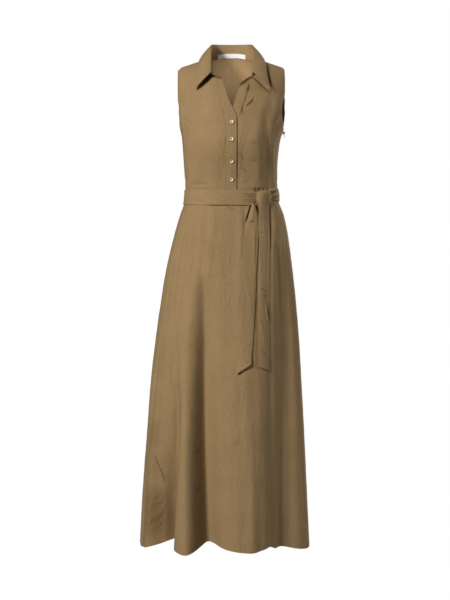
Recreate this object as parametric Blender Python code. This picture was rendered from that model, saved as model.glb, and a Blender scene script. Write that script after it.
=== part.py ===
"""A long sleeveless shirt dress with a tie belt, filled out as if worn.

Every cloth piece is a thin closed wall. The outer face of the whole dress is one formula,
body_point(), in which each level is a rounded ring and the rings close to a line at the shoulders.
A panel is a patch of it between two edges, and what lies on a panel is the same patch moved out.

Frame: metres, +Z up, -Y to the front, +X to the wearer's left. The origin is the middle of the
shoulder line, where the wearer's shoulders carry the dress.
"""

import math

import bmesh
import bpy
import numpy as np

# ---------------------------------------------------------------- driving dimensions, in metres

WALL = 0.0016              # a doubled layer of cloth
SEAM = 0.0003              # room between two pieces that are sewn together
WAIST_Z = -0.389
HEM_Z = -1.347
UNDERARM_Z = -0.207
NECK_HALF_WIDTH = 0.070
BACK_NECK_DEPTH = 0.056
BACK_NECK_RISE = 0.027     # how far the back of the neck stands above the shoulder line
NECK_SHOULDER_DROP = 0.0087
SHOULDER_SLOPE = 0.333
SHOULDER_TIP = 0.139
SHOULDER_TIP_ROUNDING = 0.005
SHOULDER_TIP_LENGTH = 0.010
TILT_START = 0.20          # below this level the rings lie flat
TILT_FULL = 0.03
FRONT_CAP_DEPTH = 0.24     # how far below the shoulder the chest is at its deepest
BACK_CAP_DEPTH = 0.17
FRONT_CAP_POWER = 1.6
BACK_CAP_POWER = 1.9
NECK_PLAN_POWER = 2.4
LEAST_DEPTH = 0.02         # of a ring, where its slopes are worked out
BACK_NECK_LEVEL = -0.0275  # ring that the middle of the back neck lies on
LEVEL_PASSES = 8

# Rings of the figure: half widths to the wearer's right and left, depths to the front and back
# of the shoulder line, and how square the ring is (2 is an ellipse).
RING_COLUMNS = ("level", "right", "left", "front", "back", "square")
RINGS = (
    (-1.400, 0.2610, 0.2200, 0.196, 0.218, 2.10),
    (-1.240, 0.2515, 0.2125, 0.184, 0.206, 2.10),
    (-1.050, 0.2380, 0.2030, 0.169, 0.190, 2.10),
    (-0.890, 0.2250, 0.1940, 0.156, 0.174, 2.10),
    (-0.780, 0.2120, 0.1875, 0.146, 0.161, 2.10),
    (-0.690, 0.1990, 0.1795, 0.138, 0.150, 2.12),
    (-0.600, 0.1845, 0.1695, 0.130, 0.139, 2.15),
    (-0.510, 0.1640, 0.1580, 0.119, 0.123, 2.20),
    (-0.443, 0.1450, 0.1455, 0.106, 0.103, 2.25),
    (-0.398, 0.1310, 0.1300, 0.095, 0.089, 2.30),
    (-0.376, 0.1295, 0.1285, 0.094, 0.088, 2.30),
    (-0.354, 0.1298, 0.1262, 0.096, 0.089, 2.30),
    (-0.309, 0.1325, 0.1265, 0.108, 0.094, 2.30),
    (-0.265, 0.1355, 0.1295, 0.124, 0.100, 2.30),
    (-0.230, 0.1385, 0.1350, 0.131, 0.104, 2.30),
    (-0.200, 0.1430, 0.1440, 0.132, 0.107, 2.30),
    (-0.150, 0.1500, 0.1505, 0.132, 0.107, 2.30),
    (-0.100, 0.1525, 0.1525, 0.132, 0.107, 2.30),
    (0.050, 0.1530, 0.1530, 0.132, 0.107, 2.30),
)

# Long folds of the skirt. Angles go from the front centre towards the wearer's left, at the top
# of the fold and at the hem. Half widths are before and after its middle. A height above zero
# stands out, and one below zero is a hollow.
FOLD_COLUMNS = ("start", "angle_top", "angle_hem", "before", "after", "height")
FOLDS = (
    (-0.900, -66.0, -61.0, 7.0, 6.0, 0.012),
    (-0.900, -38.0, -43.5, 8.0, 4.5, -0.062),
    (-0.540, -36.0, -26.0, 9.0, 6.0, 0.030),
    (-0.600, -22.0, -16.5, 4.2, 10.5, -0.056),
    (-0.500, 10.0, 12.0, 10.0, 9.0, 0.012),
    (-0.520, 58.0, 48.0, 18.0, 11.0, -0.044),
    (-0.560, 78.0, 74.0, 9.0, 10.0, 0.004),
    (-0.640, 94.0, 96.0, 8.0, 8.0, -0.006),
    (-0.560, 108.0, 112.0, 9.0, 8.0, 0.014),
    (-0.600, 124.0, 130.0, 7.0, 9.0, -0.022),
    (-0.540, 142.0, 148.0, 9.0, 8.0, 0.018),
    (-0.580, 160.0, 165.0, 6.0, 9.0, -0.024),
    (-0.520, 181.0, 182.0, 9.0, 8.0, 0.020),
    (-0.600, 202.0, 199.0, 6.0, 9.0, -0.024),
    (-0.540, 221.0, 216.0, 9.0, 8.0, 0.018),
    (-0.640, 238.0, 233.0, 8.0, 7.0, -0.020),
    (-0.560, 256.0, 252.0, 9.0, 9.0, 0.010),
)
FOLD_GROWTH = 0.70         # folds deepen fast at first and slower towards the hem
FOLD_REACH = 1.1           # folds run on this far past the hem's own level
HEM_DIP = 0.28             # the hem hangs lower by this share of a fold's height
HEM_SIDE_DROP = 0.018      # and by this much at the sides and the back
HEM_SIDES = (-78.0, -52.0, 28.0, 42.0)   # full on the right, none between, full on the left

# Armhole edges: how far the edge stands from the side line, in degrees round the ring.
ARMHOLE_COLUMNS = ("level", "front", "back")
ARMHOLE = (
    (-0.2070, 0.0, 0.0),
    (-0.2040, 8.0, 6.0),
    (-0.1990, 13.5, 9.5),
    (-0.1900, 19.5, 12.5),
    (-0.1800, 23.5, 14.0),
    (-0.1550, 27.5, 15.0),
    (-0.1300, 26.0, 14.5),
    (-0.1000, 21.5, 14.5),
    (-0.0700, 17.0, 15.5),
    (-0.0300, 16.5, 16.5),
    (0.0000, 18.5, 18.5),
)

# Edges of the front, from the top down, each as level and distance from the centre line.
EDGE_COLUMNS = ("level", "across")
UPPER_FREE_EDGE = (
    (-0.0640, -0.0275), (-0.0928, -0.0192), (-0.1251, -0.0095), (-0.1493, 0.0016),
    (-0.1762, 0.0127), (-0.2000, 0.0128), (WAIST_Z, 0.0128))
UPPER_STITCHED_EDGE = (
    (-0.0590, -0.0435), (-0.0834, -0.0385), (-0.1160, -0.0330), (-0.1477, -0.0269),
    (-0.1762, -0.0165), (-0.2000, -0.0163), (WAIST_Z, -0.0163))
UNDER_FREE_EDGE = (
    (-0.0790, 0.0234), (-0.1166, 0.0111), (-0.1395, 0.0046), (-0.1650, -0.0035),
    (-0.1900, -0.0105), (-0.2150, -0.0130), (WAIST_Z, -0.0130))
UNDER_STITCHED_EDGE = (
    (-0.0625, 0.0480), (-0.0789, 0.0475), (-0.1015, 0.0418), (-0.1395, 0.0312),
    (-0.1698, 0.0207), (-0.1849, 0.0152), (-0.2050, 0.0148), (WAIST_Z, 0.0148))
NECK_EDGE_RIGHT = (
    (-0.0087, -0.0700), (-0.0220, -0.0678), (-0.0400, -0.0628), (-0.0546, -0.0568),
    (-0.0590, -0.0435))
NECK_EDGE_LEFT = (
    (-0.0087, 0.0700), (-0.0220, 0.0678), (-0.0420, 0.0620), (-0.0579, 0.0548),
    (-0.0625, 0.0480))
UPPER_LIFT = 0.0024        # the upper front stands over the under one by this much
LIFT_FROM = -0.075
LIFT_TO = -0.040

# Collar: the fold line and the outer edge at shares of the way from the centre back to the front.
COLLAR_COLUMNS = ("share", "fold_x", "fold_y", "fold_z", "edge_x", "edge_y", "edge_z")
COLLAR = (
    (0.00, 0.0000, 0.0600, 0.0355, 0.0000, 0.0760, -0.0100),
    (0.20, 0.0330, 0.0560, 0.0355, 0.0410, 0.0700, -0.0110),
    (0.40, 0.0530, 0.0340, 0.0340, 0.0745, 0.0450, -0.0115),
    (0.54, 0.0575, 0.0040, 0.0270, 0.0890, 0.0060, -0.0110),
    (0.70, 0.0577, -0.0250, 0.0060, 0.0925, -0.0320, -0.0280),
    (0.85, 0.0572, -0.0500, -0.0210, 0.0950, -0.0580, -0.0600),
    (1.00, 0.0560, -0.0735, -0.0500, 0.1030, -0.0800, -0.0975),
)
COLLAR_FOLD_RADIUS = 0.0022
COLLAR_FALL_BULGE = 0.0030
COLLAR_FRONT_SHIFT = 0.0015   # both points lie this far to the wearer's left

BELT_TOP = -0.370
BELT_BOTTOM = -0.411
BELT_STAND_OFF = 0.0012
BELT_RISE = 0.0030          # over the lapped fronts
BELT_LEAD = 0.015           # the belt starts to rise this far before the upper front does
LAP_END = (0.016, 0.050)    # beyond the upper band the belt comes down between these
KNOT_CENTRE = (0.0795, -0.3935)
KNOT_SIZE = (0.048, 0.016, 0.049)
KNOT_EDGE = 0.0030
KNOT_ROUNDING = 0.10
TAIL_COLUMNS = ("level", "across", "width", "stand_off")
TAIL_UNDER = (
    (-0.4185, 0.0595, 0.020, 0.0040), (-0.4450, 0.0540, 0.031, 0.0030),
    (-0.4763, 0.0507, 0.036, 0.0020), (-0.5740, 0.0470, 0.038, 0.0014),
    (-0.6690, 0.0442, 0.039, 0.0014), (-0.7510, 0.0402, 0.039, 0.0014),
    (-0.8410, 0.0357, 0.040, 0.0014))
TAIL_UNDER_TIP_DROP = 0.032
TAIL_OVER = (
    (-0.4185, 0.0857, 0.027, 0.0040), (-0.4500, 0.0865, 0.030, 0.0030),
    (-0.5140, 0.0873, 0.031, 0.0016), (-0.6690, 0.0873, 0.034, 0.0016),
    (-0.7540, 0.0871, 0.036, 0.0016), (-0.8480, 0.0885, 0.036, 0.0016))
TAIL_OVER_TIP_DROP = 0.016
TAIL_TIP_LENGTH = 0.07      # length over which a tail's end turns to its slant

LABEL_SIZE = (0.077, 0.0125)
LABEL_THICKNESS = 0.0010
LABEL_FOOT = 0.0012         # the label starts this far above the neck seam
LABEL_COLUMNS = 8
LABEL_REACH = 0.012         # the collar is read this far past the label's ends

BUTTON_ACROSS = -0.0015
BUTTON_LEVELS = (-0.1877, -0.2332, -0.2924, -0.3415)
BUTTON_RADIUS = 0.0060
BUTTON_THICKNESS = 0.0024
BUTTON_SEAT = 0.0005
BUTTON_SEGMENTS = 16
# Turned profile of a button, as shares of its radius and its thickness.
BUTTON_PROFILE = (
    (0.00, 0.00), (0.80, 0.00), (1.00, 0.35), (1.00, 0.70), (0.90, 1.00), (0.72, 1.00),
    (0.58, 0.62), (0.00, 0.55))

SLIDER_SIZE = (0.0030, 0.0052, 0.0080)
SLIDER_TOP = -0.2095
LUG_REACH = 0.0032
LUG_HEIGHT = 0.0031
LUG_TOP_ROOM = 0.0001
LUG_SINK = 0.0005           # joined pieces run into each other by these
PIN_SINK = 0.0004
PLATE_SINK = 0.0004
PIN_INSET = 0.0011          # pin's middle, from the lugs' outer face
PIN_DROP = 0.0016           # and below the slider's top
LUG_THICKNESS = 0.0008
LUG_INNER_HALF_GAP = 0.0016
PIN_RADIUS = 0.00045
TAB_EYE_OUTER = 0.0015
TAB_EYE_INNER = 0.0008
TAB_EYE_WEB = 0.0003
TAB_EYE_HALF_WIDTH = 0.0012
TAB_THICKNESS = 0.0010
TAB_HALF_WIDTH = 0.0020
TAB_LENGTH = 0.0140
PIN_SEGMENTS = 16
EYE_SEGMENTS = 20

ANGLE_STEP = 0.001         # for slopes worked out from two near points, in degrees
LEVEL_STEP = 0.000001


# ---------------------------------------------------------------- curves and the figure's surface

def column(table, columns, name):
    """One named column of a table, as an array."""
    return np.array([row[columns.index(name)] for row in table], float)


def curve_through(knots, values, at):
    """A smooth curve through the knots that never swings past a neighbouring value."""
    order = np.argsort(knots)
    knots = np.asarray(knots, float)[order]
    values = np.asarray(values, float)[order]
    step = np.diff(knots)
    slope = np.diff(values) / step
    tangent = np.zeros_like(values)
    same_way = slope[:-1] * slope[1:] > 0
    tangent[1:-1][same_way] = 2 / (1 / slope[:-1][same_way] + 1 / slope[1:][same_way])
    tangent[0] = slope[0]
    tangent[-1] = slope[-1]
    at = np.clip(at, knots[0], knots[-1])
    i = np.clip(np.searchsorted(knots, at) - 1, 0, len(step) - 1)
    t = (at - knots[i]) / step[i]
    start = (1 + 2 * t) * (1 - t) ** 2 * values[i] + t * (1 - t) ** 2 * tangent[i] * step[i]
    end = t * t * (3 - 2 * t) * values[i + 1] + t * t * (t - 1) * tangent[i + 1] * step[i]
    return start + end


def ring_value(name, level):
    """A column of RINGS at any level."""
    return curve_through(column(RINGS, RING_COLUMNS, "level"), column(RINGS, RING_COLUMNS, name), level)


def smooth_step(value, start, end):
    """0 before start, 1 after end and an S curve between."""
    t = np.clip((value - start) / (end - start), 0, 1)
    return t * t * (3 - 2 * t)


def cap(level, depth, power):
    """How full a ring is near the shoulder: 0 on the shoulder line, 1 at the given depth."""
    share = np.clip(1 + level / depth, 0, 1)
    return (1 - share ** power) ** (1 / power)


def shoulder_height(across, at_back):
    """Height of the shoulder line, and of the line that the back of the neck rises to."""
    out = np.abs(across)
    inner = np.clip(out / NECK_HALF_WIDTH, 0, 1)
    rise = np.where(at_back, (BACK_NECK_RISE + NECK_SHOULDER_DROP) * (1 - inner ** 2), 0)
    slope = SHOULDER_SLOPE * np.clip(out - NECK_HALF_WIDTH, 0, None)
    tip = SHOULDER_TIP_ROUNDING * smooth_step(out, SHOULDER_TIP, SHOULDER_TIP + SHOULDER_TIP_LENGTH)
    return rise - NECK_SHOULDER_DROP - slope - tip


def fold_height(angle, level):
    """Sum of the skirt's folds, each a lopsided bump whose middle drifts and deepens to the hem."""
    total = np.zeros(np.broadcast(angle, level).shape)
    folds = zip(*(column(FOLDS, FOLD_COLUMNS, name) for name in FOLD_COLUMNS))
    for start, angle_top, angle_hem, before, after, height in folds:
        share = np.clip((level - start) / (HEM_Z - start), 0, FOLD_REACH)
        middle = angle_top + (angle_hem - angle_top) * share
        away = (angle - middle + 180) % 360 - 180
        half_width = np.where(away < 0, before, after)
        total = total + height * share ** FOLD_GROWTH * np.exp(-(away / half_width) ** 2)
    return total


def body_point(angle, level, lift=0.0):
    """Outer face of the dress: a superellipse ring at each level, raised to the shoulder line.

    angle is in degrees from the front centre towards the wearer's left, level is the height
    below the shoulder line, and lift moves the point out of the ring.
    """
    angle, level = np.broadcast_arrays(np.asarray(angle, float), np.asarray(level, float))
    sine = np.sin(np.radians(angle))
    cosine = np.cos(np.radians(angle))
    power = 2 / ring_value("square", level)
    width = np.where(sine < 0, ring_value("right", level), ring_value("left", level))
    front = ring_value("front", level) * cap(level, FRONT_CAP_DEPTH, FRONT_CAP_POWER)
    back = ring_value("back", level) * cap(level, BACK_CAP_DEPTH, BACK_CAP_POWER)
    depth = np.where(cosine > 0, front, back)
    x = width * np.sign(sine) * np.abs(sine) ** power
    y = -depth * np.sign(cosine) * np.abs(cosine) ** power
    out_x = sine / width
    out_y = -cosine / np.maximum(depth, LEAST_DEPTH)
    reach = (fold_height(angle, level) + lift) / np.hypot(out_x, out_y)
    tilt = 1 - smooth_step(-level, TILT_FULL, TILT_START)
    z = level + tilt * shoulder_height(x, cosine < 0)
    return np.stack((x + out_x * reach, y + out_y * reach, z), axis=-1)


def angle_at(across, level):
    """The ring angle of a front point, from its distance to the centre line."""
    width = np.where(across < 0, ring_value("right", level), ring_value("left", level))
    share = np.clip(np.abs(across) / width, 0, 1) ** (ring_value("square", level) / 2)
    return np.sign(across) * np.degrees(np.arcsin(share))


def level_at(height):
    """The level of a point near the front neck, from its height."""
    level = np.asarray(height, float)
    for _ in range(LEVEL_PASSES):
        tilt = 1 - smooth_step(-level, TILT_FULL, TILT_START)
        level = height + tilt * NECK_SHOULDER_DROP
    return level


def upper_lift(across, _level):
    """The upper front rises over the under one towards its free edge."""
    return UPPER_LIFT * smooth_step(across, LIFT_FROM, LIFT_TO)


def no_lift(across, _level):
    """A piece that lies on the dress's own outer face."""
    return 0.0 * across


def edge_across(edge, height):
    """Distance from the centre line of a front edge, at a height."""
    return curve_through(column(edge, EDGE_COLUMNS, "level"), column(edge, EDGE_COLUMNS, "across"), height)


# ---------------------------------------------------------------- meshes

SHARP_ANGLE = 40           # edges turned further than this are sharp, in degrees


def unit(vectors):
    """Vectors of length one."""
    return vectors / np.linalg.norm(vectors, axis=-1, keepdims=True)


def material(name, colour, roughness, metallic=0.0):
    """A plain Principled material."""
    made = bpy.data.materials.new(name)
    made.use_nodes = True
    shader = made.node_tree.nodes["Principled BSDF"]
    shader.inputs["Base Color"].default_value = (*colour, 1.0)
    shader.inputs["Roughness"].default_value = roughness
    shader.inputs["Metallic"].default_value = metallic
    return made


def add_object(name, points, faces, finish, smooth=True):
    """A mesh object whose faces point out."""
    mesh = bpy.data.meshes.new(name)
    mesh.from_pydata([tuple(map(float, point)) for point in points], [], faces)
    work = bmesh.new()
    work.from_mesh(mesh)
    bmesh.ops.recalc_face_normals(work, faces=work.faces)
    work.to_mesh(mesh)
    work.free()
    if smooth:
        mesh.shade_smooth()
        mesh.set_sharp_from_angle(angle=math.radians(SHARP_ANGLE))
    mesh.materials.append(finish)
    made = bpy.data.objects.new(name, mesh)
    bpy.context.scene.collection.objects.link(made)
    return made


def grid_faces(rows, columns, closed):
    """Triangles of one side of a grid, as index triples, and the grid's border loops."""
    faces = []
    last = columns if closed else columns - 1
    for row in range(rows - 1):
        for start in range(last):
            end = (start + 1) % columns
            a = row * columns + start
            b = row * columns + end
            c = a + columns
            d = b + columns
            faces += [(a, b, d), (a, d, c)]
    if closed:
        top = [column_ for column_ in range(columns)]
        bottom = [(rows - 1) * columns + column_ for column_ in range(columns)]
        return faces, [top + top[:1], bottom + bottom[:1]]
    border = list(range(columns))
    border += [row * columns + columns - 1 for row in range(1, rows)]
    border += [(rows - 1) * columns + column_ for column_ in range(columns - 2, -1, -1)]
    border += [row * columns for row in range(rows - 2, -1, -1)]
    return faces, [border]


def cloth_wall(name, outer, inner, finish, closed=False):
    """A closed wall between two grids of the same size, with the same diagonals on both sides."""
    rows, columns = outer.shape[:2]
    count = rows * columns
    side, borders = grid_faces(rows, columns, closed)
    faces = list(side) + [(c + count, b + count, a + count) for a, b, c in side]
    for border in borders:
        for a, b in zip(border[:-1], border[1:]):
            faces += [(a, b, b + count), (a, b + count, a + count)]
    points = np.concatenate((outer.reshape(-1, 3), inner.reshape(-1, 3)))
    return add_object(name, points, faces, finish)


def body_wall(name, angle, level, finish, lift=no_lift):
    """A cloth wall on the dress's outer face, at a grid of angles and levels, moved out by lift."""

    def surface(turn, rise):
        """The outer face near the grid's points."""
        at = angle + turn
        height = level + rise
        return body_point(at, height, lift(body_point(at, height)[..., 0], height))

    outer = surface(0.0, 0.0)
    along = surface(ANGLE_STEP, 0.0) - surface(-ANGLE_STEP, 0.0)
    down = surface(0.0, -LEVEL_STEP) - surface(0.0, LEVEL_STEP)
    normal = unit(np.cross(along, down))
    facing = outer * (1, 1, 0)
    if np.sum(normal * facing) < 0:
        normal = -normal
    return cloth_wall(name, outer, outer - normal * WALL, finish)


# ---------------------------------------------------------------- bodice

LEVELS_BELOW_ARM = (
    WAIST_Z + SEAM / 2, BELT_TOP, -0.3415, -0.3170, -0.2924, -0.2625, -0.2332, UNDERARM_Z)
LEVELS_BESIDE_ARM = (
    -0.2040, -0.1980, -0.1877, -0.1720, -0.1520, -0.1300, -0.1080, -0.0880, -0.0720)
FRONT_SHOULDER_LEVELS = (-0.0330, -0.0240, -0.0150, -0.0080, -0.0028)
BACK_SHOULDER_LEVELS = (-0.0500, -0.0340, -0.0268, -0.0255, -0.0225, -0.0150, -0.0075, -0.0020)
BODICE_COLUMNS = 9
BAND_COLUMNS = 3
ROW_ROOM = 0.002           # the least height between two rows of a panel


def shoulder_seam_level(which, depth, power):
    """The level at which a ring is half a seam deep, next to the shoulder line."""
    share = SEAM / 2 / ring_value(which, 0.0)
    return depth * ((1 - share ** power) ** (1 / power) - 1)


def armhole_angle(level, which):
    """Angle between the side line and the armhole edge, and half a seam's room below it."""
    knots = column(ARMHOLE, ARMHOLE_COLUMNS, "level")
    values = column(ARMHOLE, ARMHOLE_COLUMNS, which)
    gap = np.degrees(SEAM / 2 / ring_value("left", level))
    return gap + np.where(level <= UNDERARM_Z, 0, curve_through(knots, values, level))


def height_at(level):
    """Height of a level near the centre line."""
    return level - (1 - smooth_step(-level, TILT_FULL, TILT_START)) * NECK_SHOULDER_DROP


def front_panel(name, stitched_edge, neck_edge, side, lift, finish):
    """A bodice front, from its band's seam or the neckline out to the side seam and armhole."""
    neck_levels = level_at(column(neck_edge, EDGE_COLUMNS, "level"))
    inner_levels = tuple(level for level in neck_levels if level < FRONT_SHOULDER_LEVELS[0] - ROW_ROOM / 2)
    top = shoulder_seam_level("front", FRONT_CAP_DEPTH, FRONT_CAP_POWER)
    levels = np.array(sorted(
        LEVELS_BELOW_ARM + LEVELS_BESIDE_ARM + inner_levels + FRONT_SHOULDER_LEVELS + (top,)))
    share, level = np.meshgrid(np.linspace(0, 1, BODICE_COLUMNS + 1), levels)
    edge = neck_edge + stitched_edge[1:]
    start = angle_at(edge_across(edge, height_at(level)) + side * SEAM / 2, level)
    end = side * (90 - armhole_angle(level, "front"))
    return body_wall(name, start + (end - start) * share, level, finish, lift)


def back_neck_across(level):
    """Half width of the back neckline, a superellipse in plan."""
    depth = ring_value("back", level) * cap(level, BACK_CAP_DEPTH, BACK_CAP_POWER)
    share = np.clip(depth / BACK_NECK_DEPTH, 0, 1)
    return NECK_HALF_WIDTH * (1 - share ** NECK_PLAN_POWER) ** (1 / NECK_PLAN_POWER)


def back_panel(name, side, finish):
    """A bodice back, from the centre-back seam and the neckline out to the side and armhole."""
    top = shoulder_seam_level("back", BACK_CAP_DEPTH, BACK_CAP_POWER)
    levels = np.array(sorted(LEVELS_BELOW_ARM + LEVELS_BESIDE_ARM + BACK_SHOULDER_LEVELS + (top,)))
    share, level = np.meshgrid(np.linspace(0, 1, BODICE_COLUMNS + 1), levels)
    start = side * 180 - angle_at(side * (back_neck_across(level) + SEAM / 2), level)
    end = side * (90 + armhole_angle(level, "back"))
    return body_wall(name, start + (end - start) * share, level, finish)


def front_band(name, free_edge, stitched_edge, side, lift, finish):
    """A front band between its free edge and the seam to its panel, from neck to waist.

    Its rows are the panel's own levels, so that the two sides of the seam run alike.
    """
    lowest_top = min(free_edge[0][0], stitched_edge[0][0])
    shared = [height_at(level) for level in LEVELS_BELOW_ARM + LEVELS_BESIDE_ARM]
    heights = np.array([height for height in shared if height < lowest_top - ROW_ROOM])
    share, height = np.meshgrid(np.linspace(0, 1, BAND_COLUMNS + 1), heights)
    top = free_edge[0][0] + (stitched_edge[0][0] - free_edge[0][0]) * share[:1]
    height = np.concatenate((height, top))
    share = np.concatenate((share, share[:1]))
    free = edge_across(free_edge, height)
    sewn = edge_across(stitched_edge, height) - side * SEAM / 2
    level = level_at(height)
    return body_wall(name, angle_at(free + (sewn - free) * share, level), level, finish, lift)


# ---------------------------------------------------------------- collar and label

COLLAR_STATIONS = 13
NECK_SAMPLES = 60
NECK_SPACING = 1.6         # sets the samples closer together at the shoulder
STAND_SHARES = (0.0, 0.5)
FOLD_TURNS = (0, 60, 120, 180)
FALL_SHARES = (0.25, 0.5, 0.75, 1.0)


def neck_seam(side, lift):
    """Points of the neckline from the centre back to the collar's front end, evenly spaced."""
    neck_edge = NECK_EDGE_RIGHT if side < 0 else NECK_EDGE_LEFT
    share = np.linspace(0, 1, NECK_SAMPLES)
    level = BACK_NECK_LEVEL * (1 - share) ** 2
    across = back_neck_across(level)
    back = body_point(side * 180 - angle_at(side * across, level), level)
    front_end = neck_edge[-2][0]
    height = neck_edge[0][0] + (front_end - neck_edge[0][0]) * share ** NECK_SPACING
    level = level_at(height)
    across = edge_across(neck_edge, height)
    angle = angle_at(across, level)
    front = body_point(angle, level, lift(across, level))
    points = np.concatenate((back, front[1:]))
    lengths = np.concatenate(([0], np.cumsum(np.linalg.norm(np.diff(points, axis=0), axis=1))))
    even = np.linspace(0, lengths[-1], COLLAR_STATIONS)
    return np.stack([np.interp(even, lengths, points[:, axis]) for axis in range(3)], axis=-1)


def collar_guides():
    """Seam, fold and outer edge of the whole collar, from the wearer's right end to the left."""
    shares = np.linspace(0, 1, COLLAR_STATIONS)
    knots = column(COLLAR, COLLAR_COLUMNS, "share")
    guides = []
    for group in ("fold", "edge"):
        half = np.stack([curve_through(knots, column(COLLAR, COLLAR_COLUMNS, f"{group}_{axis}"), shares)
                         for axis in "xyz"], axis=-1)
        other = half * (-1, 1, 1)
        if group == "edge":
            shift = np.outer(smooth_step(shares, 0.4, 1.0), (COLLAR_FRONT_SHIFT, 0, 0))
            half = half + shift
            other = other + shift
        guides.append(np.concatenate((other[:0:-1], half)))
    seam = np.concatenate((neck_seam(-1, upper_lift)[:0:-1], neck_seam(1, no_lift)))
    return seam, guides[0], guides[1]


def collar_section(seam, fold, edge):
    """Grid of the collar's middle layer: up the stand, round the fold and down the fall."""
    up = unit(fold - (seam + edge) / 2)
    out = edge - seam
    out = unit(out - up * np.sum(out * up, axis=-1, keepdims=True))
    centre = fold - up * COLLAR_FOLD_RADIUS
    foot = seam + unit(centre - out * COLLAR_FOLD_RADIUS - seam) * (SEAM + WALL / 2)
    rows = []
    stand_top = centre - out * COLLAR_FOLD_RADIUS
    for share in STAND_SHARES:
        rows.append(foot + (stand_top - foot) * share)
    for turn in np.radians(FOLD_TURNS):
        rows.append(centre + COLLAR_FOLD_RADIUS * (up * math.sin(turn) - out * math.cos(turn)))
    fall_top = centre + out * COLLAR_FOLD_RADIUS
    for share in FALL_SHARES:
        bulge = COLLAR_FALL_BULGE * 4 * share * (1 - share)
        rows.append(fall_top + (edge - fall_top) * share + out * bulge)
    return np.stack(rows)


def grid_normals(grid):
    """Unit normals of a grid of points, from its neighbours."""
    return unit(np.cross(np.gradient(grid, axis=1), np.gradient(grid, axis=0)))


def build_collar(finish):
    """The collar as one folded wall."""
    middle = collar_section(*collar_guides())
    normal = grid_normals(middle)
    return cloth_wall("collar", middle + normal * WALL / 2, middle - normal * WALL / 2, finish)


def build_label(finish):
    """A blank label on the inside of the collar's stand, at the centre back."""
    seam, fold, edge = collar_guides()
    middle = collar_section(seam, fold, edge)
    keep = np.abs(seam[:, 0]) < LABEL_SIZE[0] / 2 + LABEL_REACH
    foot = middle[0][keep]
    top = middle[1][keep]
    across = np.linspace(-LABEL_SIZE[0] / 2, LABEL_SIZE[0] / 2, LABEL_COLUMNS + 1)
    order = np.argsort(foot[:, 0])
    low = np.stack([np.interp(across, foot[order, 0], foot[order, i]) for i in range(3)], axis=-1)
    high = np.stack([np.interp(across, top[order, 0], top[order, i]) for i in range(3)], axis=-1)
    rise = unit(high - low)
    inward = unit(np.cross(np.gradient(low, axis=0), rise))
    inward = np.where(inward[:, 1:2] > 0, -inward, inward)
    base = low + rise * LABEL_FOOT
    near = inward * (WALL / 2 + 2 * SEAM)
    far = near + inward * LABEL_THICKNESS
    outer = np.stack((base + far, base + rise * LABEL_SIZE[1] + far))
    inner = np.stack((base + near, base + rise * LABEL_SIZE[1] + near))
    return cloth_wall("neck_label", outer, inner, finish)


# ---------------------------------------------------------------- skirt

SKIRT_ROWS = 14
ROW_GROWTH = 1.25          # rows lie closer together under the belt


def hem_level(angle):
    """The hem hangs lower where a fold stands out, and at the sides and the back."""
    around = (angle + 180) % 360 - 180
    at_side = (smooth_step(-around, -HEM_SIDES[1], -HEM_SIDES[0])
               + smooth_step(around, HEM_SIDES[2], HEM_SIDES[3]))
    return HEM_Z - HEM_SIDE_DROP * at_side - HEM_DIP * fold_height(angle, np.full_like(angle, HEM_Z))


def centre_front(level):
    """Ring angle of the skirt's front seam, which hangs straight down from the lapped front."""
    return angle_at(UPPER_STITCHED_EDGE[-1][1] + 0.0 * level, level)


def at_angle(degrees):
    """A seam that keeps to one angle of the rings."""
    return lambda level: degrees + 0.0 * level


def skirt_panel(name, start, end, columns, finish):
    """A quarter of the skirt, between two seams, from the waist seam to the hem."""
    gap = math.degrees(SEAM / 2 / ring_value("left", WAIST_Z))
    below = WAIST_Z - BELT_BOTTOM
    under_belt = (0.0, below / 2)
    rest = below + (WAIST_Z - HEM_Z - below) * np.linspace(0, 1, SKIRT_ROWS) ** ROW_GROWTH
    downs = np.concatenate((under_belt, rest)) / (WAIST_Z - HEM_Z)
    share, down = np.meshgrid(np.linspace(0, 1, columns + 1), downs)
    top = WAIST_Z - SEAM / 2
    level = top + (HEM_Z - top) * down
    first = start(level) + gap
    angle = first + (end(level) - gap - first) * share
    return body_wall(name, angle, top + (hem_level(angle) - top) * down, finish)


# ---------------------------------------------------------------- belt

def belt_stand_off(angle, level):
    """Room under the belt, which rises over the lapped fronts."""
    across = body_point(angle, level)[..., 0]
    over = (smooth_step(across, LIFT_FROM - BELT_LEAD, LIFT_TO - BELT_LEAD)
            * (1 - smooth_step(across, *LAP_END)))
    return BELT_STAND_OFF + BELT_RISE * over * (np.cos(np.radians(angle)) > 0)


def build_belt_band(finish):
    """The belt round the waist, a closed band."""
    angles = np.linspace(0, 360, 49)[:-1]
    levels = np.linspace(BELT_BOTTOM, BELT_TOP, 4)
    across, down = np.meshgrid(angles, levels)
    room = belt_stand_off(across, down)
    outer = body_point(across, down, room + WALL)
    inner = body_point(across, down, room)
    return cloth_wall("belt_band", outer, inner, finish, closed=True)


def build_belt_knot(finish):
    """The knot: a soft pad over the belt, domed outwards, with rounded corners."""
    x, z = KNOT_CENTRE
    width, depth, height = KNOT_SIZE
    side, rise = np.meshgrid(np.linspace(-1, 1, 11), np.linspace(-1, 1, 11))
    round_x = side * np.sqrt(1 - KNOT_ROUNDING * rise ** 2)
    round_z = rise * np.sqrt(1 - KNOT_ROUNDING * side ** 2)
    dome = ((1 - side ** 4) * (1 - rise ** 4)) ** 0.5
    level = z + round_z * height / 2
    angle = angle_at(x + round_x * width / 2, level)
    base = belt_stand_off(angle, level) + WALL + 2 * SEAM
    outer = body_point(angle, level, base + KNOT_EDGE + (depth - KNOT_EDGE) * dome)
    return cloth_wall("belt_knot", outer, body_point(angle, level, base), finish)


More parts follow.
